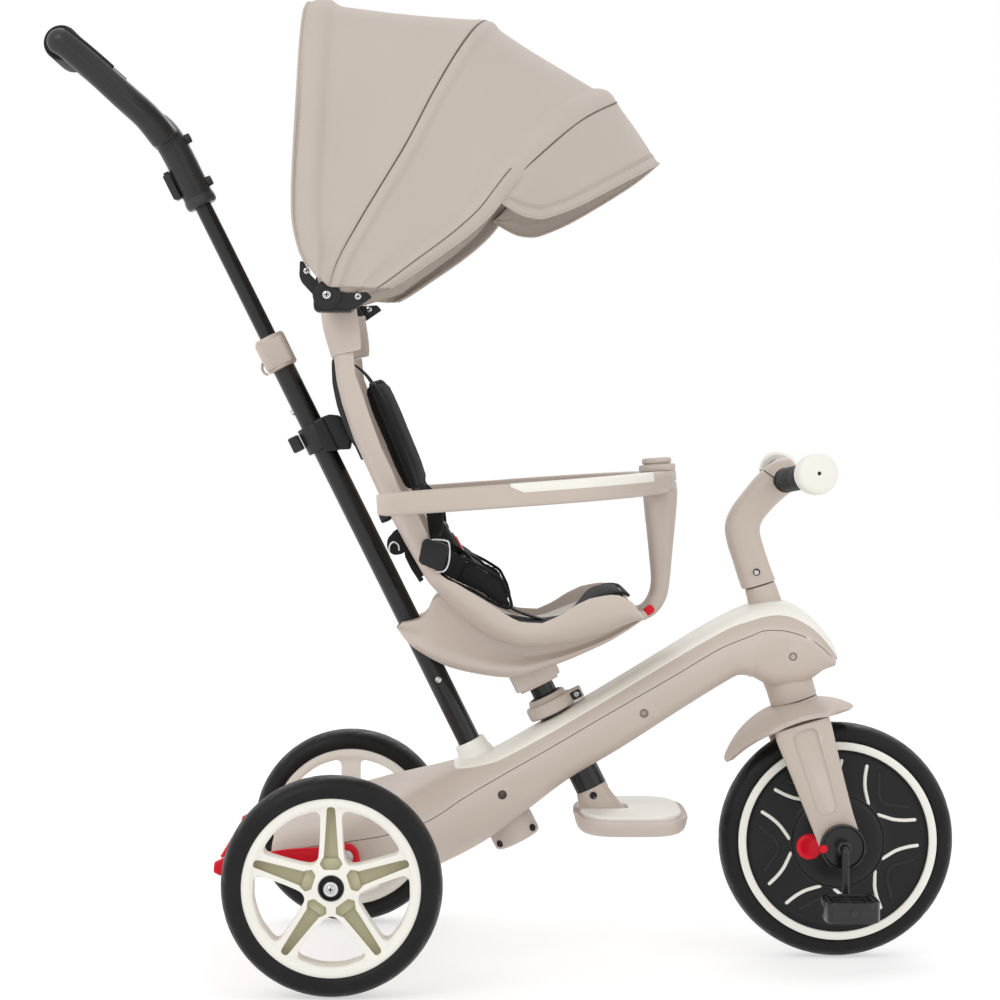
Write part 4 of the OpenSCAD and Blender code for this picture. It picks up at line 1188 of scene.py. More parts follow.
def make_stem():
    shape = Shape()
    rings = []
    for row in smooth_rows(STEM, 5):
        rings.append([on_steering(x, y, z) for x, y, z in across(row, 2.8, 48)])
    shape.rings(domed(rings, 3.0, first=False))
    for side in SIDES:
        hole = turned(on_steering, (-0.8, side * 17.2, 298.5), (0, side, 0))
        shape.lathe([(3.3, -2), (5.2, -0.6), (5.4, 1.2), (4.8, 1.6), (3.5, 0.8), (3.3, -2)][:-1], hole, 28,
                    0, closed=True)
        shape.lathe([(AXIS, -1), (4.0, -1), (4.0, 1.3), (2.6, 0.7), (AXIS, 0.7)], hole, 24, 1)
        shape.lathe([(AXIS, 0.5), (1.9, 0.5), (1.6, 1.3), (AXIS, 1.4)], hole, 6, 2)
        cover = turned(on_steering, (2.2, side * 16.6, 342), (0, side, 0))
        shape.lathe([(AXIS, -3), (4.6, -3), (4.6, 0.2), (4.0, 0.9), (AXIS, 1.2)], cover, 28, 0)
        cap = [on_steering(x, side * y, z) for x, y, z in
               ((37, 21.8, 400.5), (44, 23.2, 391), (51, 23.6, 380.5), (57, 23.3, 371))]
        shape.tube(resample(cap, 12), 0.55 * MM, 8, slot=1)
        bolt = turned(on_steering, (66.5, side * 9, 398.5), (0.75, 0, 0.66))
        shape.lathe([(AXIS, -2), (3.8, -2), (3.8, 1.0), (3.0, 1.8), (1.9, 1.8), (1.8, 0.6), (AXIS, 0.6)],
                    bolt, 20, 2)
    gap = [(10.2, 281.0), (15.4, 281.0), (15.4, 285.6), (10.2, 285.6)]
    shape.lathe(gap, on_steering, 40, 1, closed=True)
    piece("stem_moulding", shape, [BEIGE, BLACK, STEEL], "steering", "stem")


GRIP_FROM, GRIP_RUN = (52, 30, 384), (21, 158, 4)


def bar_side(f, side):
    """A point of the bar's swept part, from its bend at 0 to its end at 1."""
    x, y, z = (start + run * f for start, run in zip(GRIP_FROM, GRIP_RUN))
    return on_steering(x, side * y, z)


def make_handlebar():
    tube, grips, ends = Shape(), Shape(), Shape()
    middle = [bar_side(f, -1) for f in (1.0, 0.6, 0.3, 0.08)] + [on_steering(50.8, 0, 384)]
    middle += [bar_side(f, 1) for f in (0.08, 0.3, 0.6, 1.0)]
    tube.tube(smooth_line(middle, 6), 9.0 * MM, 28)
    piece("handlebar_tube", tube, TUBE, "steering", "handlebar")
    for side in SIDES:
        axis = bar_side(1, side) - bar_side(0, side)
        length = axis.length / MM
        bend, run = [(x, side * y, z) for x, y, z in (GRIP_FROM, GRIP_RUN)]
        place = turned(on_steering, bend, run)
        start, end = 0.1 * length, 0.86 * length
        profile = [(9.1, start), (12.6, start), (13.2, start + 0.8), (13.2, start + 4), (12.6, start + 5)]
        steps = 20
        for k in range(steps):
            z = start + 8 + (end - start - 10) * k / (steps - 1)
            wave = 0.7 if k % 2 else 0.0
            profile.append((12.3 + wave, z))
        profile += [(12.6, end), (9.1, end)]
        grips.lathe(profile, place, 48, closed=True)
        ends.lathe([(9.1, end - 1), (18.2, end - 1), (19.4, end + 0.6), (20.6, end + 4), (21.2, end + 9),
                    (21.3, end + 17),
                    (20.8, end + 21), (19.2, end + 24.2), (16.6, end + 26.0), (12, end + 27.2),
                    (5, end + 27.9),
                    (2.2, end + 27.9), (1.9, end + 25), (AXIS, end + 25), (AXIS, end + 10), (9.1, end + 6)],
                   place, 64, closed=True)
        hole = plug(1.9, end + 24.6, end + 25.1)
        ends.lathe(hole, place, 16, 1)
    piece("handlebar_grips", grips, GRIP, "steering", "grips")
    piece("handlebar_ends", ends, [CREAM, BLACK], "steering", "bar_ends")


# ---------------------------------------------------------------- seat

SHELL_BACK = [(-6, 637), (-3, 611), (3, 586), (14, 553), (27, 525), (42, 492), (67, 444.5), (92, 403),
              (107, 386),
              (122, 370), (136, 358), (155, 345), (181, 336), (207, 333.5), (230, 335), (250, 339),
              (279, 349),
              (299, 358.5), (316, 365)]
SHELL_RIM = [(17, 641), (19, 619), (26.5, 598.5), (34.5, 574), (45.5, 544), (58, 517.5), (63.5, 502.5),
             (81.5, 478.5),
             (92, 457.5), (96.5, 437), (100.5, 421), (110, 410), (123, 404.5), (140, 394), (158, 383),
             (179, 369), (189, 364.5), (211, 363.5),
             (228, 371), (243, 381), (260, 389), (280, 392.7), (292, 391.7), (303, 385), (311, 375),
             (318, 367)]


def flat_line(points, count):
    return resample([Vector((x, z, 0)) for x, z in points], count)


def shell_pairs(count):
    return list(zip(flat_line(SHELL_BACK, count), flat_line(SHELL_RIM, count)))


def shell_point(back, rim, half, t, inset=0.0):
    """A point of the shell's section: t is -1 at one rim, 0 in the middle and 1 at the other rim."""
    a = abs(t) * math.pi / 2
    depth = rim - back
    start = back + depth.normalized() * inset
    f = 1 - max(0.0, math.cos(a)) ** (2 / 3.4)
    p = start.lerp(rim, f)
    return design(p.x, math.copysign((half - inset) * math.sin(a) ** (2 / 3.4), t), p.y)


def shell_half(i, count):
    return 117.0 + 11.0 * min(1.0, i / count * 2.0) - 14.0 * max(0.0, (i / count - 0.86) / 0.14) ** 2


def make_shell():
    count, across_count = 64, 27
    pairs = shell_pairs(count)
    rings = []
    for i, (back, rim) in enumerate(pairs):
        half = shell_half(i, count)
        outer = [shell_point(back, rim, half,
                             -1 + 2 * j / (across_count * 2)) for j in range(across_count * 2 + 1)]
        inner = [shell_point(back, rim, half, 1 - 2 * j / (across_count * 2),
                             7.0) for j in range(across_count * 2 + 1)]
        rings.append(outer + inner)
    shape = Shape()
    shape.rings(rings)
    piece("seat_shell_moulding", shape, BEIGE, "seat", "seat_shell", bevel=1.4, angle=50.0)
    lining = Shape()
    rows = []
    for i in range(33, 60):
        back, rim = pairs[i]
        low = [shell_point(back, rim, shell_half(i, count) - 1, -0.86 + 1.72 * j / 40,
                           8.2) for j in range(41)]
        high = [shell_point(back, rim, shell_half(i, count) - 1, 0.86 - 1.72 * j / 40,
                            10.4) for j in range(41)]
        rows.append(low + high)
    lining.rings(rows)
    piece("seat_lining", lining, CREAM, "seat", "seat_insert", bevel=0.5, angle=50.0)


# Outer line, lower crease, upper crease and top line of the mount under the seat, from the tail forward
BASE_ROWS = [
    (59, 353, 60, 352.5, 62, 353.5, 64, 358.0, 40), (72, 336, 75, 341, 80, 350, 88, 365.0, 60),
    (92, 322.5, 93, 331, 96, 345, 97, 381.0, 68), (110, 313.5, 110, 324, 112, 338, 108, 388.0, 71),
    (126, 308.5, 126, 319, 127, 332, 122, 373.5, 73), (142, 305, 142, 316, 142, 327, 136, 361.5, 74),
    (156, 302.6, 156, 313.5, 156, 323, 154, 349.5, 75), (170, 301, 170, 312, 170, 320.5, 172, 343.0, 75),
    (182, 300.9, 182, 312, 183, 319.5, 186, 339.0, 75), (194, 302, 194, 313, 195, 319.5, 198, 338.0, 75),
    (218, 311, 217, 319, 217, 323.5, 219, 338.4, 74), (242, 320, 240, 326.5, 240, 330, 241, 341.0, 72),
    (262, 329, 260, 333.5, 260, 336.5, 261, 346.5, 68), (282, 338, 280, 341.5, 280, 344, 281, 354.0, 60),
    (304, 350.5, 302, 352.6, 302, 354.5, 302, 363.4, 50), (319, 360.5, 318, 361.5, 318, 362.5, 317, 364.5,
                                                           40)]


def make_seat_base():
    shape = Shape()
    rings = []
    for x0, z0, x1, z1, x2, z2, x3, z3, half in smooth_rows(BASE_ROWS, 4):
        keel = [(x0, z0, half * 0.30), (x0, z0 + 0.2, half * 0.55),
                (x0 + (x1 - x0) * 0.25, z0 + (z1 - z0) * 0.25, half * 0.82),
                (x0 + (x1 - x0) * 0.7, z0 + (z1 - z0) * 0.7, half * 0.97), (x1, z1, half),
                (x1 + (x2 - x1) * 0.5, z1 + (z2 - z1) * 0.5, half * 0.995), (x2, z2, half * 0.955),
                (x2 + (x3 - x2) * 0.3, z2 + (z3 - z2) * 0.3, half * 0.905),
                (x2 + (x3 - x2) * 0.7, z2 + (z3 - z2) * 0.7, half * 0.92), (x3, z3, half * 0.95),
                (x3, z3, half * 0.6), (x3, z3, half * 0.25)]
        ring = [design(x, -y, z) for x, z, y in keel] + [design(x, y, z) for x, z, y in keel[::-1]]
        rings.append(ring)
    shape.rings(rings)
    obj = object_from("seat_mount", shape, [BEIGE])
    holes = Shape()
    holes.lathe(plug(13.6, 120, 420), on_bar, 40)
    cut(obj, object_from("bar_hole", holes, [BEIGE]))
    bevel_edges(obj, 1.0, 2, 45)
    apply_modifiers(obj)
    soften(obj, 42.0)
    settle(obj, "seat", "seat_base")
    block = Shape()
    block.prism(rounded([(-26, -31), (25, -31), (25, 31), (-26, 31)], 6), 122.5, 152, on_post, 1.6)
    block.prism(rounded([(-22, -27), (21, -27), (21, 27), (-22, 27)], 5), 119.5, 126, on_post, 1.0)
    hook = [design(x, y, z) for x, y, z in ((108, -40, 386), (101, -40, 386), (97.5, -40, 380),
                                            (94, -40, 373),
                                             (92, -40, 371.5))]
    block.tube(resample(hook, 10), 1.7 * MM, 12)
    for x, z in ((112, 376), (118, 372)):
        block.prism(rounded([(-3, -9), (3, -9), (3, 3), (-3, 3)], 1.2), -66, -62,
                    turned(design, (x, 0, z), (0, 1, 0)), 0.5)
    piece("seat_block", block, BEIGE, "seat")


def make_post():
    shape = Shape()
    shape.lathe([(AXIS, 12), (11.5, 12), (12.9, 14), (12.9, 127), (AXIS, 127)], on_post, 48)
    for k in range(4):
        z = 108 + k * 3.4
        for a in (-0.42, -0.14, 0.14, 0.42):
            t = -math.pi / 2 + a
            at = turned(on_post, (12.75 * math.cos(t), 12.75 * math.sin(t), z), (math.cos(t), math.sin(t), 0))
            shape.prism(panel_outline(0.6, 1.1, 0.3), -0.4, 0.45, at)
    shape.prism([(12.2, -3.4), (13.4, -2.8), (13.4, 2.8), (12.2, 3.4)], 16, 126, on_post, 0.3)
    piece("seat_post_tube", shape, TUBE, "seat", "seat_post")


# ---------------------------------------------------------------- cushion and harness

CLOTH_STEPS = 20
PRESSURE = 4.0


def simulated(obj, voxel, cap):
    """Remeshes a closed form, swells it as cloth, and keeps each point near where it began."""
    mod = obj.modifiers.new("even", "REMESH")
    mod.mode = "VOXEL"
    mod.voxel_size = voxel * MM
    apply_modifiers(obj)
    start = [v.co.copy() for v in obj.data.vertices]
    mod = obj.modifiers.new("swell", "CLOTH")
    mod.settings.quality = 5
    mod.settings.mass = 0.2
    mod.settings.tension_stiffness = 12
    mod.settings.compression_stiffness = 12
    mod.settings.shear_stiffness = 8
    mod.settings.bending_stiffness = 0.6
    mod.settings.use_pressure = True
    mod.settings.uniform_pressure_force = PRESSURE
    mod.settings.effector_weights.gravity = 0.0
    mod.collision_settings.use_collision = False
    mod.point_cache.frame_start = 1
    mod.point_cache.frame_end = CLOTH_STEPS
    for step in range(1, CLOTH_STEPS + 1):
        bpy.context.scene.frame_set(step)
    apply_modifiers(obj)
    bpy.context.scene.frame_set(1)
    for v, old in zip(obj.data.vertices, start):
        shift = v.co - old
        if shift.length > cap * MM:
            v.co = old + shift.normalized() * cap * MM
    obj.data.update()


def finish_pad(obj, node):
    mod = obj.modifiers.new("even out", "SMOOTH")
    mod.factor, mod.iterations = 0.5, 6
    mod = obj.modifiers.new("round", "SUBSURF")
    mod.levels = mod.render_levels = 1
    apply_modifiers(obj)
    smooth_all(obj)
    settle(obj, "seat", node)


def piping(name, line, radius, axes):
    """A cord round a closed loop of Vectors. axes gives the section's two directions from the loop's own."""
    rings = []
    for i, p in enumerate(line):
        along = (line[(i + 1) % len(line)] - line[i - 1]).normalized()
        first, second = axes(along)
        rings.append([p + (first * x + second * y) * MM for x, y in oval(radius, radius, 2, 10)])
    shape = Shape()
    shape.rings(rings, wrap=True)
    piece(name, shape, PIPING, "seat")


CUSHION = [(122, 389, 88), (131, 379.5, 92), (143, 370, 92), (160, 360.5, 84), (183, 352.5, 68),
           (207, 349.5, 62),
           (229, 351.5, 62), (246, 358, 70), (258, 367, 84), (268, 378, 92), (278, 386.5, 92),
           (288, 389.6, 88),
           (297, 389.2, 80), (301.5, 386.5, 70)]


def make_cushion():
    shape = Shape()
    rings = []
    rows = smooth_rows(CUSHION, 4)
    for i, (x, z, half) in enumerate(rows):
        a, b = rows[max(i - 1, 0)], rows[min(i + 1, len(rows) - 1)]
        slope = Vector((b[0] - a[0], b[1] - a[1])).normalized()
        nx, nz = -slope.y, slope.x
        ends = min(1.0, 0.35 + 3.2 * min(i, len(rows) - 1 - i) / len(rows))
        thick = 3.0 * ends + 0.6
        ring = [design(x + nx * (v + 1.0), u, z + nz * (v + 1.0)) for u, v in oval(half - 3, thick, 5, 48)]
        rings.append(ring)
    shape.rings(rings)
    obj = object_from("seat_cushion", shape, [PAD_CLOTH])
    simulated(obj, 4.0, 5.0)
    for v in obj.data.vertices:
        y = abs(v.co.y) / MM
        x = v.co.x / MM - REAR_X
        line = min(abs(x - 176), abs(x - 232))
        if y < 72 and line < 5.5:
            v.co.z -= 1.6 * MM * math.cos(line / 5.5 * math.pi / 2)
        if abs(y - 52) < 5.0 and 130 < x < 292:
            v.co.z -= 1.4 * MM * math.cos(abs(y - 52) / 5.0 * math.pi / 2)
    finish_pad(obj, "seat_pad")
    loop = [design(x, -half - 0.6, z + 2.8) for x, z, half in rows]
    loop += [design(x, half + 0.6, z + 2.8) for x, z, half in rows[::-1]]

    def level(along):
        side = along.cross(Vector((0, 0, 1))).normalized()
        return side, side.cross(along)
    piping("seat_cushion_piping", resample(loop + [loop[0]], 220)[:-1], 1.9, level)


def strap(shape, path, width, thick, up):
    """Flat webbing along a line of Vectors, its width across the given direction."""
    section = [(x * MM, y * MM) for x, y in oval(width / 2, thick / 2, 8, 24)]
    shape.sweep(path, section, up=up)


WAIST = [(105, 418), (109, 411), (122, 404), (143, 394), (163, 382), (176, 377.5), (180, 380), (177, 392),
         (169, 408), (153, 418), (133, 428), (112, 435.5), (107, 430)]
PAD_TOP, PAD_FOOT = (37.0, 612), (83, 500)
PAD_YAW = math.radians(15)
CHANNEL_AT, CHANNEL_HALF, CHANNEL_DEPTH = 14.5, 3.0, 2.0


def on_shoulder(side):
    """A pad's own frame: across it towards the inside, up along it, and out of its face."""
    top, foot = design(PAD_TOP[0], 0, PAD_TOP[1]), design(PAD_FOOT[0], 0, PAD_FOOT[1])
    up = (top - foot).normalized()
    ahead = Vector((0, 1, 0)).cross(up)
    inward = Vector((0, -side, 0)) * math.cos(PAD_YAW) + ahead * math.sin(PAD_YAW)
    face = ahead * math.cos(PAD_YAW) + Vector((0, side, 0)) * math.sin(PAD_YAW)
    middle = (top + foot) / 2 + Vector((0, side * 44 * MM, 0))

    def place(x, y, z):
        return middle + (inward * x + up * y + face * z) * MM
    return place


def make_pads():
    for side in SIDES:
        label = side_name(side)
        place = on_shoulder(side)
        outline = rounded([(-25, -59), (25, -59), (26, 59), (-26, 59)], 10, 6)
        block = Shape()
        block.prism(outline, -7.5, 6.0, place, 2.4)
        obj = object_from("shoulder_pad_" + label, block, [PAD_CLOTH])
        simulated(obj, 3.5, 4.0)
        origin = place(0, 0, 0)
        inward, face = place(1, 0, 0) - origin, place(0, 0, 1) - origin
        for v in obj.data.vertices:
            offset = v.co - origin
            from_channel = abs(offset.dot(inward) / MM ** 2) - CHANNEL_AT
            if offset.dot(face) / MM ** 2 > 2.0 and abs(from_channel) < CHANNEL_HALF:
                v.co -= face * CHANNEL_DEPTH * math.cos(from_channel / CHANNEL_HALF * math.pi / 2)
        finish_pad(obj, "harness_pads")
        trim = Shape()
        rim = resample([place(x, y, 0.6) for x, y in rounded([(-26, -60), (26, -60), (27, 60), (-27, 60)],
                                                             11, 6)], 120)
        trim.tube(rim + [rim[0]], 1.5 * MM, 10, caps=False)
        piece("shoulder_pad_piping_" + label, trim, PIPING, "seat")

        shape = Shape()
        n = 9
        rings = []
        for k in range(n):
            s = -1 + 2 * k / (n - 1)
            rings.append([design(x, side * (103 + 1.5 * s + 0.02 * (x - 96)), z) for x,
                          z in rounded(WAIST, 4.0, 3)])
        shape.rings(rings)
        obj = object_from("waist_pad_" + label, shape, [PAD_CLOTH])
        simulated(obj, 3.0, 3.5)
        finish_pad(obj, "harness_pads")
        outline = rounded(WAIST, 4.0, 4)
        line = resample([design(x, side * (104 + 0.02 * (x - 96)), z) for x, z in outline + outline[:1]],
                        120)[:-1]
        lateral = Vector((0, 1, 0))
        piping("waist_pad_piping_" + label, line, 1.7, lambda along: (lateral,
                                                                      along.cross(lateral).normalized()))


def make_straps():
    webbing, hardware, steel = Shape(), Shape(), Shape()
    for side in SIDES:
        back = [design(x, side * 44, z) for x, z in ((3, 636), (10, 633), (19, 627), (28, 618), (36, 606))]
        strap(webbing, resample(smooth_line(back, 5), 16), 25, 1.8, (1, 0, 0.4))
        low = [(79, 510, 44), (86, 495, 47), (95, 484, 57), (100, 474, 70), (101.5, 463, 82), (102, 452, 93),
               (101, 444, 103)]
        path = [design(x, side * y, z) for x, z, y in low]
        path = resample(smooth_line(path, 5), 30)
        rings = []
        for i, p in enumerate(path):
            f = i / (len(path) - 1)
            along = (path[min(i + 1, 29)] - path[max(i - 1, 0)]).normalized()
            turn = math.radians(20 + 150 * f)
            wide = Vector((0, 1, 0)) * math.cos(turn) + Vector((1, 0, 0.3)) * math.sin(turn)
            wide = (wide - along * wide.dot(along)).normalized()
            thin = along.cross(wide)
            rings.append([p + (wide * x + thin * y) * MM for x,
                          y in oval(11.5 - 2.5 * math.sin(math.pi * f), 1.1, 6, 20)])
        webbing.rings(rings)
        belt = [design(x, side * y, z) for x, z, y in ((90, 436, 126), (97, 434, 127.5), (106, 429, 124),
                                                       (116, 424, 113), (128, 418, 109))]
        strap(webbing, resample(smooth_line(belt, 5), 14), 25, 2.0, (0, 1, 0))
        lap = [design(x, side * y, z) for x, z, y in ((150, 405, 98), (150, 412, 80), (143, 424, 58),
                                                      (132, 432, 40),
                                                      (123, 436, 28))]
        strap(webbing, resample(smooth_line(lap, 5), 26), 24, 1.8, (1, 0, 1.2))
        make_adjuster(hardware, steel, side)
    crotch = [design(x, 0, z) for x, z in ((226, 357), (205, 362), (180, 372), (156, 390), (136, 410),
                                           (124, 426))]
    strap(webbing, resample(smooth_line(crotch, 5), 26), 26, 2.0, (0.7, 0, 1))
    for y in (-60, 60):
        tail = [design(x, y, z) for x, z in ((70, 438), (71, 430), (77, 418), (86, 404))]
        strap(webbing, resample(tail, 14), 24, 4.6, (1, 0, 0.5))
        fold = rounded([(72, 451), (60, 456), (51, 450), (49.5, 439), (56, 431), (66, 432), (74, 440)], 4, 4)
        webbing.prism(fold, abs(y) - 11, abs(y) + 11, side_place(0, y / abs(y)), 1.2)
        wire = [design(x, y * 1.2, z) for x, z in ((53, 434), (53, 441), (57, 445), (62, 442), (63, 436))]
        steel.tube(resample(smooth_line(wire, 4), 24), 1.1 * MM, 10)
        knob = turned(design, (54, y, 474), (-0.94, 0, -0.34))
        hardware.lathe([(AXIS, 0), (5.0, 0), (5.4, 1.5), (6.4, 5.0), (6.4, 11.0), (5.6, 12.4),
                        (AXIS, 12.8)], knob, 28)
    piece("harness_webbing", webbing, WEBBING, "seat", "harness_straps")
    piece("harness_adjusters", hardware, BLACK, "seat", bevel=0.4)
    piece("harness_wire_loops", steel, STEEL, "seat")


def make_adjuster(hardware, steel, side):
    place = outward(side, 99.6, 130.5, 434)
    body = [(-13.5, -11), (9.5, -15), (13.0, -12), (14.5, 10), (10.5, 13.5), (-10.5, 15), (-14.5, 11.5)]
    body = [spun(x, y, math.radians(-14)) for x, y in body]
    hardware.prism(rounded(body, 3.5, 5), -3.5, 4.5, place, 1.6)
    loop = [place(x, y, 2.0) for x, y in ((-11, 14), (2, 15.5), (12.5, 14.5), (15.8, 11.0), (16.0, -3),
                                          (14.0, -12),
                                          (10.0, -16.6), (2, -17.0))]
    steel.tube(resample(smooth_line(loop, 5), 40), 1.1 * MM, 12)


def make_buckle():
    tilt = math.radians(28)
    shape = Shape()

    def at(x, y, z):
        return design(118 + x * math.cos(tilt) - z * math.sin(tilt), y,
                      436 + x * math.sin(tilt) + z * math.cos(tilt))
    face = turned(at, (0, 0, 0), (1, 0, 0))
    outline = rounded([(-26, -22), (-19, -30), (19, -30), (26, -22), (26, 22), (19, 30), (-19, 30),
                       (-26, 22)], 5, 5)
    shape.prism(outline, -6.5, 6.0, face, 2.4)
    shape.lathe([(11.2, 5.2), (15.4, 5.4), (15.2, 7.2), (13.6, 8.2), (12, 7.6), (11.2, 5.2)][:-1], face, 48,
                closed=True)
    for y in (-24, 24):
        for x in (-8, 0, 8):
            shape.prism(rounded([(x - 2.6, y - 3), (x + 2.6, y - 3), (x + 2.6, y + 3), (x - 2.6, y + 3)],
                                1), 5, 7, face, 0.4)
    piece("harness_buckle", shape, BLACK, "seat", "buckle", bevel=0.3)
    knob = Shape()
    knob.lathe([(AXIS, 1.5), (10.8, 1.5), (10.9, 7.6), (9.6, 9.2), (7.2, 9.6), (AXIS, 8.6)], face, 48)
    piece("buckle_knob", knob, RED, "harness_release", "buckle_button")


# ---------------------------------------------------------------- safety ring

def on_ring(x, y, z):
    """The ring's own frame: forward of the post, across, and above the arms' middle."""
    c, s = math.cos(math.radians(4)), math.sin(math.radians(4))
    return design(RING_X + x * c - z * s, y, RING_Z + x * s + z * c)


def make_arm(side):
    label = side_name(side)
    line = [(-RING_R - 142 + t, RING_R) for t in range(0, 140, 8)]
    line += [(-RING_R + RING_R * math.sin(a), RING_R * math.cos(a)) for a in
             (math.radians(87) * k / 34 for k in range(1, 35))]
    path = [on_ring(x, side * y, 0) for x, y in line]
    up = on_ring(0, 0, 1) - on_ring(0, 0, 0)
    shape = Shape()
    section = [(x * MM, y * MM) for x, y in oval(8.0, 12.0, 4.5, 48)]
    scales = [(1.0, 1.0)] * len(path)
    scales[0] = (0.72, 0.82)
    scales[1] = (0.96, 0.985)
    for k in range(9):
        scales[-1 - k] = (1.0 + 0.85 * (1 - k / 9) ** 2, 1.0)
    shape.sweep(path, section, up=up, scales=scales)
    eye = 0.4 if side > 0 else -11.8
    shape.lathe([(11.2, eye), (18.6, eye), (19.6, eye + 1), (19.6, eye + 10.4), (18.6, eye + 11.4),
                 (11.2, eye + 11.4)],
                on_ring, 64, closed=True)
    piece("safety_arm_" + label + "_moulding", shape, BEIGE, "arm_" + label,
          "safety_arm_" + label,
          angle=50.0)
    cap = Shape()
    rows = []
    for k, (x, y) in enumerate(line):
        turn = math.degrees(math.atan2(x + RING_R, y))
        if x < -RING_R - 8 or turn > 64:
            continue
        rows.append((x, y, min(1.0, max(0.0, (x + RING_R + 8) / 12))))
    rings = []
    for k, (x, y, f) in enumerate(rows):
        p, q = rows[max(k - 1, 0)], rows[min(k + 1, len(rows) - 1)]
        along = Vector((q[0] - p[0], q[1] - p[1])).normalized()
        out = Vector((-along.y, along.x)) if Vector((-along.y,
                                                     along.x)).dot(Vector((x + RING_R, y))) > 0 else Vector(
            (along.y, -along.x))
        low = 12.0 - 9.6 * f
        ring = []
        for u, v in ((-4.5, 12.3), (6.2, 12.3), (7.9, 11.2), (8.5, 9.2), (8.5, min(low, 9.0)),
                     (7.4, min(low, 8.6)),
                     (7.2, 9.0), (-4.5, 11.2)):
            ring.append(on_ring(x + out.x * u, side * (y + out.y * u), v))
        rings.append(ring)
    cap.rings(rings)
    piece("safety_arm_" + label + "_inlay", cap, CREAM, "arm_" + label, bevel=0.3)


POST_ROWS = [(339, 497, 18.6, 18.6), (339.3, 486, 17.8, 18.2), (339.5, 470, 16.4, 17.6),
             (339.7, 450, 14.4, 16.8),
             (339.7, 425, 12.0, 16.0), (339.6, 404, 10.2, 15.4), (337.6, 389, 9.8, 15.2),
             (333, 378.5, 9.6, 15.0),
             (326, 370.5, 9.0, 14.6), (316, 365.5, 8.2, 14.0)]


def make_safety_post():
    shape = Shape()
    rings = []
    for x, z, fore, wide in smooth_rows(POST_ROWS, 5):
        rings.append((x, z, fore, wide))
    loops = []
    for i, (x, z, fore, wide) in enumerate(rings):
        a, b = rings[max(i - 1, 0)], rings[min(i + 1, len(rings) - 1)]
        along = Vector((b[0] - a[0], b[1] - a[1])).normalized()
        nx, nz = -along.y, along.x
        loops.append([design(x + nx * u, v, z + nz * u) for u, v in oval(fore, wide, 2.6, 40)])
    shape.rings(loops)
    shape.lathe([(AXIS, 12.2), (18.9, 12.2), (19.4, 13.0), (19.4, 17.8), (18.6, 19.0), (14.4, 19.2),
                 (14.4, 20.4),
                 (15.2, 20.6), (15.7, 21.4), (15.7, 24.2), (14.8, 25.6), (12.6, 26.2), (AXIS, 26.4)],
                 on_ring, 64)
    piece("safety_post_moulding", shape, BEIGE, "seat", "safety_post", angle=50.0)
    knob = Shape()
    place = turned(design, (326.5, -12.6, 370.3), (0, -1, 0))
    flat = panel_outline(5.6, 4.8, 4.0, 5)
    outline = [spun(x, y, math.radians(38)) for x, y in flat]
    knob.prism(outline, -2, 4.4, place, 1.2)
    knob.prism(outline, -2, 4.4, lambda p, q, r: place(p, q, -25.2 - r), 1.2)
    piece("ring_release_button", knob, RED, "ring_release", "safety_button")


# ---------------------------------------------------------------- canopy

# Half of each arch from its lower end at the rider's right to the middle, as (forward, height, across)
REAR_EDGE = [(-26, 727, -153), (-34, 741, -155), (-41, 770, -157), (-42, 800, -157), (-40.5, 840, -157),
             (-37, 900, -155), (-34.5, 950, -146), (-32.5, 985, -122), (-31, 1001, -82), (-30.5, 1008, -40),
             (-30, 1010, 0)]
MIDDLE_SEAM = [(-5, 706, -152), (4, 733, -155), (24.3, 770, -158), (47.6, 808.5, -159), (74, 852, -160),
               (99, 900, -158), (122, 941, -146), (139, 968, -122), (149, 982, -85), (154, 989, -42),
               (156, 991, 0)]
FRONT_EDGE = [(56, 705, -152), (69.5, 712.6, -153), (90, 726.5, -154.5), (130, 754.4, -157), (157, 778, -158),
              (172, 797, -158), (188, 817, -157), (218, 848, -145), (244, 871.6, -120), (265, 886.6, -95),
              (288, 901.5, -50), (291.5, 908.5, 0)]
VISOR_SEAM = [(163, 796, -158.5), (188, 820.4, -157.5), (218, 848.5, -145.5), (244, 872.4, -120),
              (265, 887.6, -95),
              (288, 902.3, -50), (291.5, 909.3, 0)]
VISOR_EDGE = [(163, 795, -158.5), (177, 786, -152), (190, 779.5, -146), (204, 777, -138), (216, 778.5, -130),
              (245, 790, -117), (280, 809, -98), (310, 826.5, -70), (326, 837, -38), (337, 845, 0)]
ARCH_CENTRE = design(70, 0, 780)
ARCH_COLUMNS = 49
SLACK_IN_WIDTH = 1.05
STITCH_GAP, STITCH_LONG, STITCH_R = 4.2, 2.6, 0.45
HEM_SHARE, HEM_LIFT = 0.035, 2.2


def arch(half):
    """A whole arch, evenly spaced, from half of its points."""
    near = resample([design(x, y, z) for x, z, y in smooth_rows(half, 4)], ARCH_COLUMNS)
    far = [Vector((p.x, -p.y, p.z)) for p in near[:-1]]
    return near + far[::-1]


def bump(distance, start, end, height):
    if distance <= start or distance >= end:
        return 0.0
    return height * math.sin(math.pi * (distance - start) / (end - start)) ** 0.8


# A canopy sheet: its object, flat width, length and area, the arches along its two edges, and its grid of
# points with as many columns as an arch has points
Panel = namedtuple("Panel", "sheet width length area first last points columns rows")


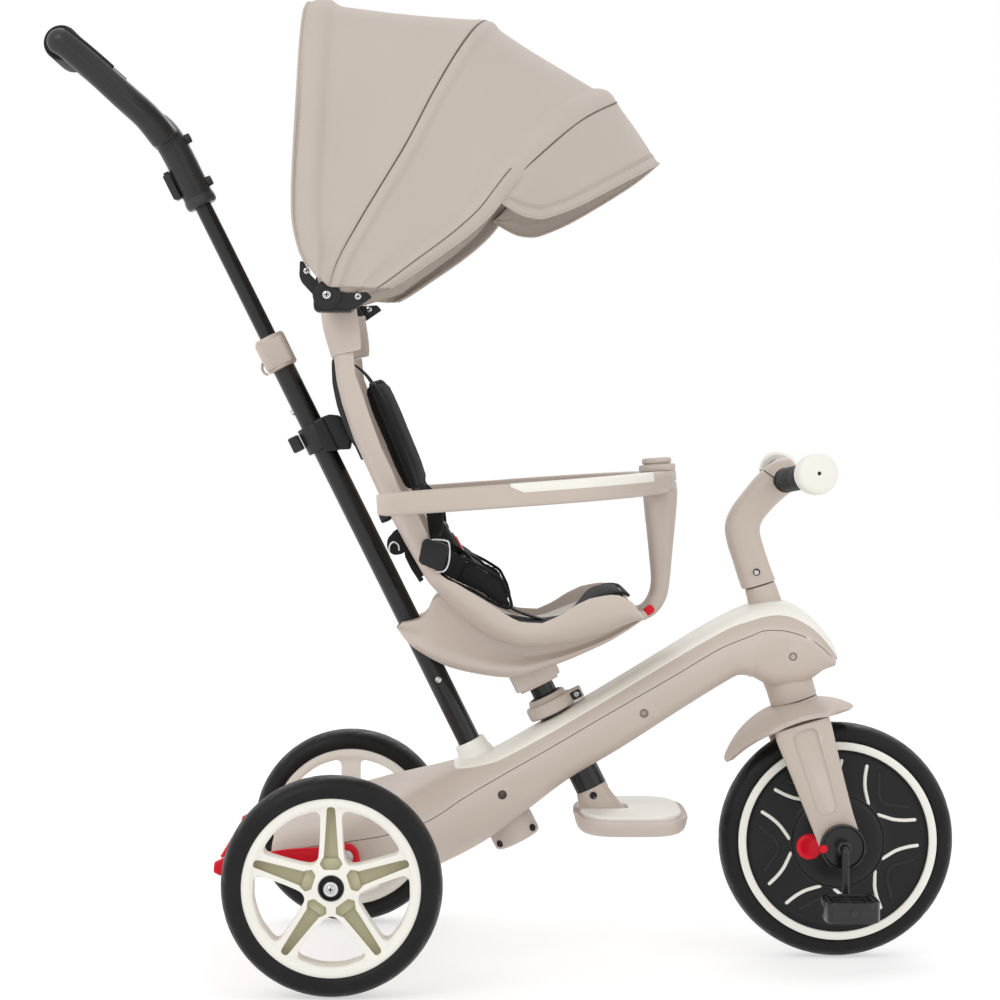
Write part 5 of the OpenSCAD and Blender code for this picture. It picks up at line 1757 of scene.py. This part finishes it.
def canopy_panel(name, first, last, marks, node, sag, rows=40):
    """A sheet between two arches. Its marks are ridges, as (distance from the first edge or, if negative,
    from the last edge, width, height), all in millimetres."""
    a, b = arch(first), arch(last)
    count = len(a)
    points, shares, cloth = [], [], []
    run = [0.0]
    for p, q in zip(a, a[1:]):
        run.append(run[-1] + (q - p).length)
    for u in [i / (rows - 1) for i in range(rows)]:
        for j in range(count):
            span = (b[j] - a[j]).length / MM
            p = a[j].lerp(b[j], u)
            j0, j1 = max(j - 1, 0), min(j + 1, count - 1)
            along = a[j1].lerp(b[j1], u) - a[j0].lerp(b[j0], u)
            out = along.cross(b[j] - a[j]).normalized()
            if out.dot(p - ARCH_CENTRE) < 0:
                out = -out
            lift = 0.0
            for at, width, height in marks:
                distance = u * span if at >= 0 else (1 - u) * span
                lift += bump(distance, abs(at), abs(at) + width, height)
            side = min(1.0, abs(p.y) / MM / 120)
            hollow = sag * math.sin(math.pi * u) ** 1.3 * side * min(1.0, span / 120)
            low = min(j, count - 1 - j) / 10
            if low < 1:
                crease = math.sin(u * math.pi * 5.0 + 0.6) * 0.9 + math.sin(u * math.pi * 9.0) * 0.5
                lift += crease * (1 - low) ** 1.5
                hollow *= low
            ripple = 0.7 * math.sin(run[j] * 26 + u * 3.1) * math.sin(math.pi * u)
            points.append(p + out * (lift - hollow + ripple) * MM)
            shares.append(u)
            cloth.append((u * span * MM, run[j]))
    mesh = bpy.data.meshes.new(name)
    mesh.from_pydata([tuple(p) for p in points], [], grid_faces(rows, count))
    mesh.materials.append(CANVAS)
    uv = mesh.uv_layers.new(name="weave")
    for loop in mesh.loops:
        uv.data[loop.index].uv = cloth[loop.vertex_index]
    share = mesh.attributes.new("share", "FLOAT", "POINT")
    share.data.foreach_set("value", shares)
    obj = bpy.data.objects.new(name, mesh)
    bpy.context.scene.collection.objects.link(obj)
    mod = obj.modifiers.new("round", "SUBSURF")
    mod.levels = mod.render_levels = 1
    mod.boundary_smooth = "PRESERVE_CORNERS"
    mod = obj.modifiers.new("thickness", "SOLIDIFY")
    mod.thickness, mod.offset = 1.2 * MM, 0.0
    apply_modifiers(obj)
    smooth_all(obj)
    settle(obj, None, node)
    tuple(a[count // 2])
    tuple(b[count // 2])
    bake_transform(obj)
    values = [0.0] * len(obj.data.vertices)
    obj.data.attributes["share"].data.foreach_get("value", values)
    [min(1.0, max(0.0, v)) for v in values]
    area = 0.0
    for i in range(rows - 1):
        for j in range(count - 1):
            p, q = points[i * count + j], points[(i + 1) * count + j]
            r = points[i * count + j + 1]
            area += (q - p).length * (r - p).length
    width = max((points[(rows - 1) * count + j] - points[j]).length for j in range(count)) * SLACK_IN_WIDTH
    length = max(line_length(a), line_length(b))
    return Panel(obj, width, length, area, a, b, points, count, rows)


def along_panel(panel, u, columns, lift=0.0):
    """A line of Vectors along a panel at a share of the way between its arches."""
    i = u * (panel.rows - 1)
    low = min(int(i), panel.rows - 2)
    made = []
    for j in columns:
        p = panel.points[low * panel.columns + j].lerp(panel.points[(low + 1) * panel.columns + j], i - low)
        out = (p - ARCH_CENTRE).normalized()
        made.append(p + out * lift * MM)
    return made


def share_before(panel, j, distance):
    """How far across a panel's column a place lies that is a distance in millimetres before its last edge."""
    span = (panel.last[j] - panel.first[j]).length / MM
    return 1 - distance / max(span, distance)


def stitched(shape, line):
    """A row of stitches lying on a line of Vectors."""
    total = line_length(line) / MM
    spots = resample(line, max(4, int(total / STITCH_GAP) * 2 + 1))
    for p, q in zip(spots[::2], spots[1::2]):
        way = (q - p).normalized() * STITCH_LONG * MM / 2
        middle = (p + q) / 2
        shape.tube([middle - way, middle + way], STITCH_R * MM, 6)


def stretched(panel, with_pieces):
    """Works out a panel's area as a stretched sheet and lists its pieces, but keeps neither."""
    round(min(panel.area, panel.width * panel.length), 4)
    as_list(with_pieces)


def make_canopy():
    rear = canopy_panel("canopy_rear_panel", REAR_EDGE, MIDDLE_SEAM, [(3, 27, 7.0), (-1, 9, 1.4)],
                        "canopy_rear_cover", 3.0)
    front = canopy_panel("canopy_front_panel", MIDDLE_SEAM, FRONT_EDGE, [(1, 12, 3.2), (-1, 27, 6.0)],
                         "canopy_front_cover", 6.0)
    visor = canopy_panel("canopy_visor_panel", VISOR_SEAM, VISOR_EDGE, [(-11, 4, -0.7)],
                         "canopy_visor", -2.0, 24)
    every = range(2 * ARCH_COLUMNS - 1)
    sides = [[j for j in every if j < 22], [j for j in every if j > 2 * ARCH_COLUMNS - 24]]
    pieces = {"seat": [], "canopy_front": [], "visor": [], "canopy_middle": []}

    def trim(name, shape, material, body):
        pieces[body].append(piece(name, shape, material, body))

    hem, brim, edge = Shape(), Shape(), Shape()
    hem.tube(along_panel(rear, 0.0, every, 0.3), 1.6 * MM, 8)
    brim.tube(visor.last, 1.5 * MM, 8)
    for columns in sides:
        edge.tube(along_panel(front, 1.0, columns), 1.5 * MM, 8)
    trim("canopy_binding_seat", hem, BINDING, "seat")
    trim("canopy_binding_canopy_front", edge, BINDING, "canopy_front")
    trim("canopy_binding_visor", brim, BINDING, "visor")
    seam, brim_seam = Shape(), Shape()
    seam.tube(along_panel(rear, 1.0, every, 0.5), 0.9 * MM, 8)
    brim_seam.tube([p + Vector((0, 0, 0.6 * MM)) for p in visor.first], 0.9 * MM, 8)
    trim("canopy_seam_canopy_middle", seam, DARK_THREAD, "canopy_middle")
    trim("canopy_seam_canopy_front", brim_seam, DARK_THREAD, "canopy_front")

    thread = Shape()
    stitched(thread, [a.lerp(b, HEM_SHARE) + (a - ARCH_CENTRE).normalized() * HEM_LIFT * MM
                      for a, b in zip(rear.first, rear.last)])
    trim("canopy_stitches_rear", thread, BINDING, "seat")
    thread = Shape()
    stitched(thread, [along_panel(visor, share_before(visor, j, 10.0), [j], 0.9)[0] for j in every])
    thread.tube([along_panel(visor, share_before(visor, j, 12.5), [j], 0.9)[0] for j in every], 0.4 * MM, 6)
    trim("canopy_stitches_visor", thread, BINDING, "visor")
    thread = Shape()
    for columns in sides:
        thread.tube([along_panel(front, share_before(front, j, 13.0), [j], 0.8)[0] for j in columns],
                    0.5 * MM, 6)
    trim("canopy_stitches_front", thread, DARK_THREAD, "canopy_front")

    stretched(rear, pieces["seat"] + pieces["canopy_middle"])
    stretched(front, pieces["canopy_front"])
    stretched(visor, pieces["visor"])
    make_bow("rear_bow_strip", rear, 15.0, "seat", "rear_bow")
    make_bow("middle_bow_strip", front, 6.0, "canopy_middle", "middle_bow")
    make_bow("front_bow_strip", front, -15.0, "canopy_front", "front_bow")


def make_bow(name, panel, distance, body, node):
    """A flat strip just inside the fabric, whose ends meet at the hub."""
    line = []
    for a, b in zip(panel.first, panel.last):
        span = (b - a).length / MM
        u = distance / span if distance > 0 else 1 + distance / span
        p = a.lerp(b, min(1.0, max(0.0, u)))
        line.append(p + (ARCH_CENTRE - p).normalized() * 4.2 * MM)
    near = [design(HUB_X, -147, HUB_Z)]
    far = [design(HUB_X, 147, HUB_Z)]
    line = near + line[2:-2] + far
    path = resample(line, 120)
    section = [(x * MM, y * MM) for x, y in oval(1.6, 5.0, 5, 20)]
    rings = []
    for i, p in enumerate(path):
        along = (path[min(i + 1, 119)] - path[max(i - 1, 0)]).normalized()
        out = p - ARCH_CENTRE
        out = (out - along * out.dot(along)).normalized()
        side = along.cross(out)
        rings.append([p + out * x + side * y for x, y in section])
    shape = Shape()
    shape.rings(rings)
    piece(name, shape, BINDING, body, node)


def make_canopy_mount():
    back = [(-20, 688), (-19.6, 680), (-17.6, 667), (-14, 654), (-10.5, 642), (-8.6, 636.3)]
    rim = [(20.6, 688), (21.4, 680), (23.2, 669), (24.4, 660), (25.2, 650), (24.6, 643.4)]
    count, cols = 26, 26
    pairs = list(zip(flat_line(back, count), flat_line(rim, count)))
    rings = []
    for p, q in pairs:
        outer = [shell_point(p, q, 121.5, -1 + j / cols) for j in range(2 * cols + 1)]
        inner = [shell_point(p, q, 121.5, 1 - j / cols, 5.5) for j in range(2 * cols + 1)]
        rings.append(outer + inner)
    shape = Shape()
    shape.rings(rings)
    piece("canopy_mount_moulding", shape, BEIGE, "seat", "canopy_mount", bevel=1.2,
          angle=50.0)


def make_hub():
    for side in SIDES:
        label = side_name(side)
        base, rear, front = Shape(), Shape(), Shape()
        at = side_place(150, side)
        disc = [(HUB_X + x, HUB_Z + z) for x, z in oval(14.3, 14.3, 2, 44)]
        base.prism(disc, -4, 2.4, at, 0.8)
        base.lathe([(8.0, 2.2), (9.4, 2.2), (9.4, 3.2), (8.0, 3.2)],
                   moved(at, HUB_X, HUB_Z, 0), 36, 0, closed=True)
        foot = rounded([(-22, 689), (-20.5, 681), (17, 681), (19, 688), (8, 706), (-20, 708)], 4, 4)
        base.prism(foot, -34, -2, at, 1.2)
        screw_head(base, moved(at, HUB_X, HUB_Z, 2.4), 4.6, 2.2, 1, 2)
        piece("hub_" + label, base, [BLACK, STEEL, GLOSS_BLACK], "seat",
              "canopy_brackets" if side < 0 else None)
        arm = [(-35.5, 732.4), (-32, 732.4), (-28.2, 725.8), (-25, 719), (-14, 708), (-8, 702), (-10, 692),
               (-20, 696),
               (-33.5, 710.6), (-36, 717)]
        rear.prism(rounded(arm, 2.0, 3), -7.5, -3.0, at, 0.8)
        screw_head(rear, moved(at, -28.6, 722.4, -3.0), 3.4, 1.8, 1, 2)
        piece("rear_bow_bracket_" + label, rear, [BLACK, STEEL, GLOSS_BLACK], "seat")
        arm = [(-4, 706), (4, 701.5), (14, 700), (32.8, 701), (38, 695.3), (20, 683), (8, 684.4), (-2, 686)]
        front.prism(rounded(arm, 2.0, 3), -3.4, 1.0, at, 0.8)
        screw_head(front, moved(at, 23.6, 696.4, 1.0), 3.6, 1.8, 1, 2)
        screw_head(front, lambda a, b, c, at=at: at(23.6 + a, 696.4 + b, -3.4 - c), 3.6, 1.8, 1, 2)
        piece("front_bow_bracket_" + label, front, [BLACK, STEEL, GLOSS_BLACK], "canopy_front")


# ---------------------------------------------------------------- push bar

def make_bar():
    lower, upper = Shape(), Shape()
    lower.lathe([(9.8, 10), (12, 10), (12, 586), (9.8, 586)], on_bar, 48, closed=True)
    upper.lathe(plug(9, 441, 810), on_bar, 40)
    spring = turned(on_bar, (-11.6, -1.5, 519), (-1, -0.12, 0))
    lower.lathe([(AXIS, 0), (3.0, 0), (3.0, 1.8), (2.2, 2.8), (AXIS, 3.2)], spring, 20, 1)
    piece("push_bar_lower_tube", lower, [TUBE, STEEL], "frame", "bar_lower_tube")
    piece("push_bar_upper_tube", upper, TUBE, "push_handle", "bar_upper_tube")


HANDLE_NECK = [(0, 0, 763), (0, 0, 790), (0, 0, 818), (-2, 0, 842), (-8, 0, 858)]
HANDLE_ARM = [(-4, 10, 838), (-10, 24, 866), (-22, 42, 896), (-36, 55, 932), (-49, 61, 962), (-54, 61, 972)]


def make_handle():
    shape = Shape()
    neck = [on_bar(*p) for p in smooth_rows(HANDLE_NECK, 4)]
    shape.tube(neck, [r * MM for r in [15.2, 16.0, 16.2] + [16.2] * (len(neck) - 3)], 32)
    for side in SIDES:
        arm = [on_bar(x, side * y, z) for x, y, z in smooth_rows(HANDLE_ARM, 5)]
        shape.tube(arm, [(15.2 - 1.6 * i / (len(arm) - 1)) * MM for i in range(len(arm))], 28)
    cross = [on_bar(-54, y, 970) for y in (-60, -30, 0, 30, 60)]
    shape.tube(cross, 13.0 * MM, 28)
    for y in (-60, 60):
        ball = turned(on_bar, (-54, y, 970), (0, 1, 0))
        shape.lathe([(AXIS, -14.2), (6, -13), (10.6, -9.4), (13.4, -4.6), (14.2, 0), (13.4, 4.6),
                     (10.6, 9.4), (6, 13),
                     (AXIS, 14.2)], ball, 28)
    obj = object_from("handle_moulding", shape, [HANDLE_BLACK])
    mod = obj.modifiers.new("join", "REMESH")
    mod.mode = "VOXEL"
    mod.voxel_size = 1.7 * MM
    mod = obj.modifiers.new("even", "SMOOTH")
    mod.factor, mod.iterations = 0.5, 12
    apply_modifiers(obj)
    smooth_all(obj)
    settle(obj, "push_handle", "handle")

    grip = Shape()
    ring = turned(on_bar, (-54, 0, 970), (0, 1, 0))
    grip.lathe([(12, -53), (16.6, -53), (18.0, -51.5), (18.5, -49), (18.5, 49), (18.0, 51.5), (16.6, 53),
                (12, 53)], ring, 56,
               closed=True)
    piece("handle_rubber", grip, GRIP, "push_handle", "handle_grip")

    extra = Shape()
    for side in SIDES:
        arm = [Vector(p) for p in smooth_rows(HANDLE_ARM, 5)]
        n = len(arm)
        back_pad, seam = [], []
        for i, p in enumerate(arm):
            r = 15.2 - 1.6 * i / (n - 1)
            along = (arm[min(i + 1, n - 1)] - arm[max(i - 1, 0)]).normalized()
            out = Vector((0, 1, 0)) - along * along.y
            out.normalize()
            seam.append(p + out * (r + 0.05))
            front = along.cross(out)
            if front.x < 0:
                front = -front
            back_pad.append(p + front * (r - 3.2))
        line = [Vector(on_bar(p.x, side * p.y, p.z)) for p in seam[3:]]
        extra.tube(line, 0.7 * MM, 8, slot=1)
        line = [Vector(on_bar(p.x, side * p.y, p.z)) for p in back_pad[13:]]
        extra.tube(line, 5.2 * MM, 20, slot=2)
    line = [on_bar(0, -16.35, z) for z in (764, 790, 815, 834)]
    extra.tube(line, 0.7 * MM, 8, slot=1)
    for x, z in ((15.4, 829), (15.6, 779)):
        at = turned(on_bar, (x, 0, z), (1, 0, 0))
        extra.lathe([(AXIS, -1), (5.2, -1), (5.4, 0.6), (5.2, 4.6), (4.4, 5.4), (2.2, 5.6), (2.0, 4.4),
                     (AXIS, 4.4)], at, 28,
                    3)
    extra.lathe([(9.2, 758), (14.6, 758), (16.6, 760), (17.0, 764), (16.4, 769), (9.2, 769)], on_bar, 40,
                closed=True)
    piece("handle_details", extra, [HANDLE_BLACK, GLOSS_BLACK, GRIP, BLACK], "push_handle")
    knob = Shape()
    knob.prism(rounded([(-22.6, -8.4), (-16, -8.4), (-16, 8.4), (-22.6, 8.4)], 2), 775, 807, on_bar, 1.2)
    knob.prism(rounded([(-24.4, -6.6), (-21, -6.6), (-21, 6.6), (-24.4, 6.6)], 1.2), 777, 804.5, on_bar, 0.8)
    piece("handle_release", knob, BLACK, "handle_release", "handle_button")


def make_clip():
    shape = Shape()
    shape.lathe([(12.5, 470), (16.4, 470), (17.2, 471.2), (17.2, 497.8), (16.4, 499), (12.5, 499)], on_bar,
                48,
                closed=True)
    arm = rounded([(13.2, 462.5), (25, 457), (36, 472), (30, 495), (22, 500), (13.2, 501)], 2.0, 3)
    shape.prism(arm, -16.5, 16.5, lambda a, b, c: on_bar(a, c, b), 1.6)
    for side in SIDES:
        cheek = rounded([(0, 466), (14.5, 461.5), (14.5, 501), (3, 500.5)], 2.0, 3)
        shape.prism(cheek, 13.4, 18.6, lambda a, b, c, side=side: on_bar(a, side * c, b), 1.2)
    back = [(-13.5, 633), (-10.6, 611), (-4.6, 585), (6, 553), (16.2, 530)]
    front = [(-6.9, 637), (-3.9, 611), (2.2, 585), (12.9, 553), (23.4, 530)]
    plate = []
    rows = list(zip(flat_line(back, 30), flat_line(front, 30)))
    for k, (p, q) in enumerate(rows):
        f = k / 29
        half = 34 * (0.75 + 0.25 * math.sin(math.pi * f))
        thick = 0.35 + 0.65 * math.sin(math.pi * min(1.0, f * 1.15 + 0.02)) ** 0.6
        r = q.lerp(p, thick * 0.8)
        plate.append([design(q.x, -half, q.y), design(r.x, -half * 0.86, r.y), design(r.x, -half * 0.4, r.y),
                      design(r.x, half * 0.4, r.y), design(r.x, half * 0.86, r.y), design(q.x, half, q.y)])
    shape.rings(plate)
    clip = piece("bar_clip_moulding", shape, BLACK, "seat", "bar_clip", bevel=0.6)
    groove = Shape()
    groove.prism([(-15.6, -4.6), (-11, -4.6), (-11, 4.6), (-15.6, 4.6)], 460, 506, on_bar)
    cut(clip, object_from("groove_cutter", groove, [BLACK]))
    lever = Shape()
    lever.prism(rounded([(-30, -13), (-18.2, -13), (-18.2, 13), (-30, 13)], 3.0), 479, 496, on_bar, 1.6)
    axle = turned(on_bar, (-22.5, 0, 490), (0, 1, 0))
    lever.lathe([(AXIS, -14), (2.6, -14), (2.9, -13.4), (2.9, 13.4), (2.6, 14), (AXIS, 14)], axle, 20)
    piece("clip_latch", lever, BLACK, "clip_release", "clip_lever")


# ---------------------------------------------------------------- footrest

def make_footrest():
    shape = Shape()
    top = oval(60, 97, 3.4, 72)
    rings = []
    for z, grow in ((138, 0.86), (139, 0.90), (142, 0.95), (148, 0.985), (153, 1.0), (155.2, 0.996),
                    (156.4, 0.985),
                    (156.6, 0.965), (155.4, 0.95)):
        rings.append([design(307 + x * grow, y * grow, z) for x, y in top])
    shape.rings(rings)
    platform = piece("footrest_moulding", shape, BEIGE, "footrest", "footrest_platform")
    pad = Shape()
    rings = []
    for z, grow in ((155.2, 1.0), (158.0, 1.0), (159.6, 0.985), (160.0, 0.965)):
        rings.append([design(307 + x * grow, y * grow, z) for x, y in oval(53, 89, 3.4, 72)])
    pad.rings(rings)
    tread = piece("footrest_tread", pad, CREAM, "footrest", "footrest_pad")
    for part, material in ((platform, BEIGE), (tread, CREAM)):
        notch = Shape()
        notch.prism(rounded([(236, -20.8), (305, -20.8), (305, 20.8), (236, 20.8)], [1, 9, 9, 1]), 125, 180,
                    design)
        cut(part, object_from("notch_cutter", notch, [material]))
        soften(part, 50.0)


# ---------------------------------------------------------------- the whole tricycle

def write_sizes():
    """The CAD box and the visual model's box, each as its lowest and highest corner."""
    boxes = {"cad": cad_box, "visual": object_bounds()}
    {name: [list(corner) for corner in box] for name, box in boxes.items()}


make_frame()
make_brake()
make_footrest()
rear_wheel(1)
rear_wheel(-1)
front_wheel()
crank_set()
pedal(1)
pedal(-1)
make_fork()
make_stem()
make_handlebar()
make_shell()
make_seat_base()
make_post()
make_cushion()
make_pads()
make_straps()
make_buckle()
make_arm(1)
make_arm(-1)
make_safety_post()
make_canopy_mount()
make_hub()
make_canopy()
make_bar()
make_handle()
make_clip()
write_sizes()
